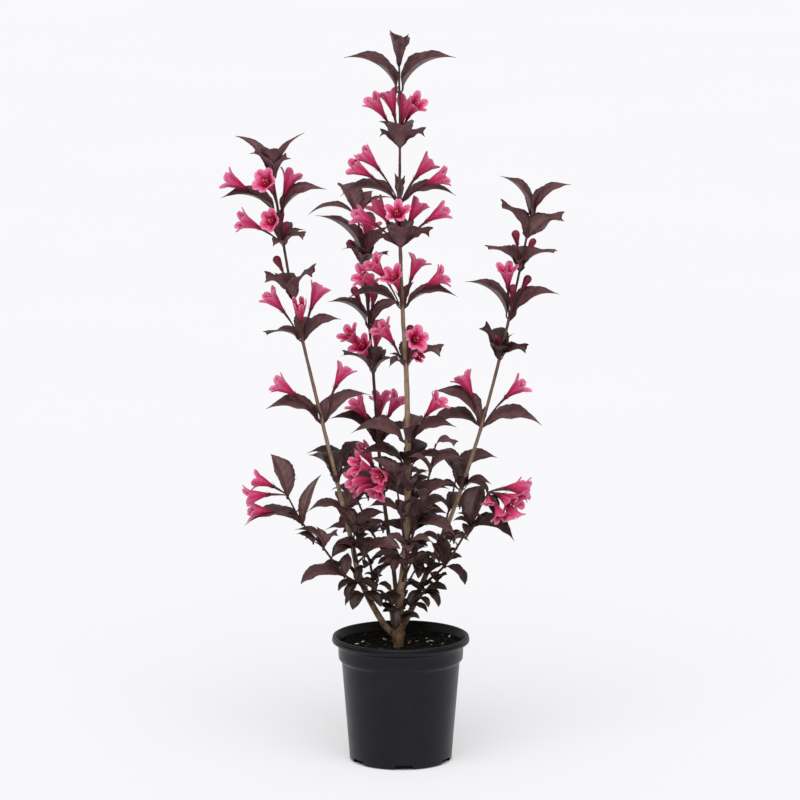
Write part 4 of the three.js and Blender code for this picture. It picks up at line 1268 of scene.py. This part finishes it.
def makePot(finishes):
    # A turned shape with a moulding seam down its front, and notches cut through its foot.
    foot = [(pot["footRadius"] + (pot["bodyLow"] - pot["footRadius"]) * math.cos(turn),
             pot["footRound"] * (1 + math.sin(turn))) for turn in np.radians(np.linspace(-90, 0, 5))]
    outside = [(30, 0), (50, 0), *foot, *pot["outside"]]
    rings, sides = outside + pot["inside"], pot["sides"]
    angles = np.arange(sides) * math.tau / sides
    away = np.degrees(np.angle(np.exp(1j * (angles - math.radians(pot["seamTurn"])))))
    seam = np.exp(-(away / pot["seamWidth"]) ** 2) * pot["seamHeight"]
    points = [(0, 0, 0)]
    for number, (radius, height) in enumerate(rings):
        seen = number < len(outside) - 5 and height > pot["footRound"]
        points += ring(radius + (seam if seen else 0), height, sides)
    points.append((0, 0, pot["floor"]))
    faces = latheFaces(len(rings), sides)
    walls = (len(rings) - 1) * sides
    # the inside wall and the inner floor take the darker plastic: painted shade
    zones = [int(number < walls and number // sides >= len(outside) - 1 or number >= walls + sides)
             for number in range(len(faces))]
    body = makeMesh("pot_body", points, faces, finishes=finishes, zones=zones)
    cutter = notchCutter(finishes)
    cut = body.modifiers.new("notches", "BOOLEAN")
    cut.operation = "DIFFERENCE"
    cut.solver = "EXACT"
    cut.object = cutter
    piece = settled("nursery_pot", body)
    discard(body, cutter)
    piece.data.shade_smooth()
    piece.data.set_sharp_from_angle(angle=math.radians(pot["crease"]))
    return piece


# shaded_plastic is a darker copy of the black plastic: painted shade inside the pot and in the notches
potPiece = makePot([potFinish(), plainFinish("shaded_plastic", (4, 4, 6), (8, 8, 11), 20, 0.32, 0.1, 0.2)])
print("pot is moulded")


# The potting mix.
mix = {
    "sides": 96, "rings": 26, "low": 3.2, "edgeRadius": 71.4, "innermost": 0.04, "rough": 1.9,
    # the buried wall, radius and height, then the dished top: share of its radius, height
    "wall": [(56.5, 3.2), (58.2, 8), (63, 64), (67.6, 119), (68.4, 121.2), (71.2, 124.6), (71.4, 137.6)],
    "top": [(0, 135), (0.4, 135.2), (0.62, 136), (0.8, 137.2), (0.92, 138.2), (1, 139)],
    "lumps": [(7, 1), (2.6, 0.7), (1.2, 0.45)],  # size and share
}


def makeMix(finish):
    # The mix fills the pot, with a crumbly dished top that is also handed back to strew crumbs on.
    sides = mix["sides"]
    points = [(0, 0, mix["low"])]
    for radius, height in mix["wall"]:
        points += ring(radius, height, sides)
    for share in np.linspace(1, mix["innermost"], mix["rings"]):
        base = tabled(mix["top"], share)
        calm = min(1, (1 - share) * 8 + 0.35)  # the mix lies smoother at its edge
        for place in map(Vector, ring(mix["edgeRadius"] * share, 0, sides)):
            lump = sum(most * lumps.noise(place / size) for size, most in mix["lumps"])
            points.append((place.x, place.y, base + lump * mix["rough"] * calm))
    points.append((0, 0, mix["top"][0][1]))
    faces = latheFaces(len(mix["wall"]) + mix["rings"], sides)
    keep = 1 + len(mix["wall"]) * sides
    upper = [[corner - keep for corner in face] for face in faces if min(face) >= keep]
    return makeMesh("mix_heap", points, faces, finishes=[finish]), makeMesh("mix_top", points[keep:], upper)


def stoneShape(name, seed, detail, squash):
    # a small uneven stone, one millimetre in radius
    shape = bmesh.new()
    bmesh.ops.create_icosphere(shape, subdivisions=detail, radius=millimetre)
    draw = Draw(seed)
    for vertex in shape.verts:
        vertex.co *= draw.spread(0.72, 1.2)
        vertex.co.z *= squash
    mesh = bpy.data.meshes.new(name)
    shape.to_mesh(mesh)
    shape.free()
    return add(name, mesh)


mixPiece, mixTop = makeMix(plainFinish("peat", (5, 5, 3), (18, 14, 9), 1.6, 0.95, 0.8, 0.1))
grains = {
    # density on each square metre, least and greatest size, seed, detail, squash, its two tones
    "peat_crumbs": (90000, (0.8, 0.8, 0.7), (2.8, 2.5, 2), 3, 1, 0.8, (6, 6, 4), (28, 22, 14)),
    "bark_chips": (7000, (1.8, 0.8, 0.6), (5, 1.8, 1.1), 8, 1, 0.6, (52, 38, 26), (104, 80, 58)),
    "perlite": (1300, (0.9, 0.9, 0.7), (3.2, 2.6, 1.9), 21, 2, 0.85, (176, 160, 130), (222, 212, 190)),
    "moss_flecks": (1400, (1.4, 1, 0.5), (3.8, 2.2, 1), 34, 1, 0.7, (66, 74, 38), (108, 112, 66)),
}
grainPieces = []
for name, (density, least, most, seed, detail, squash, dark, light) in grains.items():
    stone = stoneShape(name + "_shape", seed, detail, squash)
    finish = plainFinish(name + "_tone", dark, light, 1.5, 0.9, 0.3, 0.15)
    grainPieces.append(strewn.run(name, mixTop, Shape=stone, Density=float(density), Smallest=least,
                                  Largest=most, Seed=seed, Finish=finish))
    discard(stone)
discard(mixTop)
print("potting mix is filled in")


# Hiding and riding: the CAD parts that the pieces stand for are hidden, and every piece rides on the root.
for side, piece in barkPieces.items():
    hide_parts(*([side + "_stem", "stem_base"] if side == "main" else [side + "_stem"]))
for tint, piece in leafPieces.items():
    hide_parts(*[name for name, its in sprayTints.items() if its == tint])
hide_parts("pot")
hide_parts("potting_mix")
slots = {
    "bark": [*barkPieces.values(), twigs], "foliage": list(leafPieces.values()),
    "blossom": [corollas, *strandPieces, calyxes], "pot": [potPiece],
    "potting_mix": [mixPiece, *grainPieces],
}
for slot, pieces in slots.items():
    for piece in pieces:
        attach(piece, "root")

sizes = {"cad": [list(corner) for corner in cadBox], "visual": [list(corner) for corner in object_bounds()]}
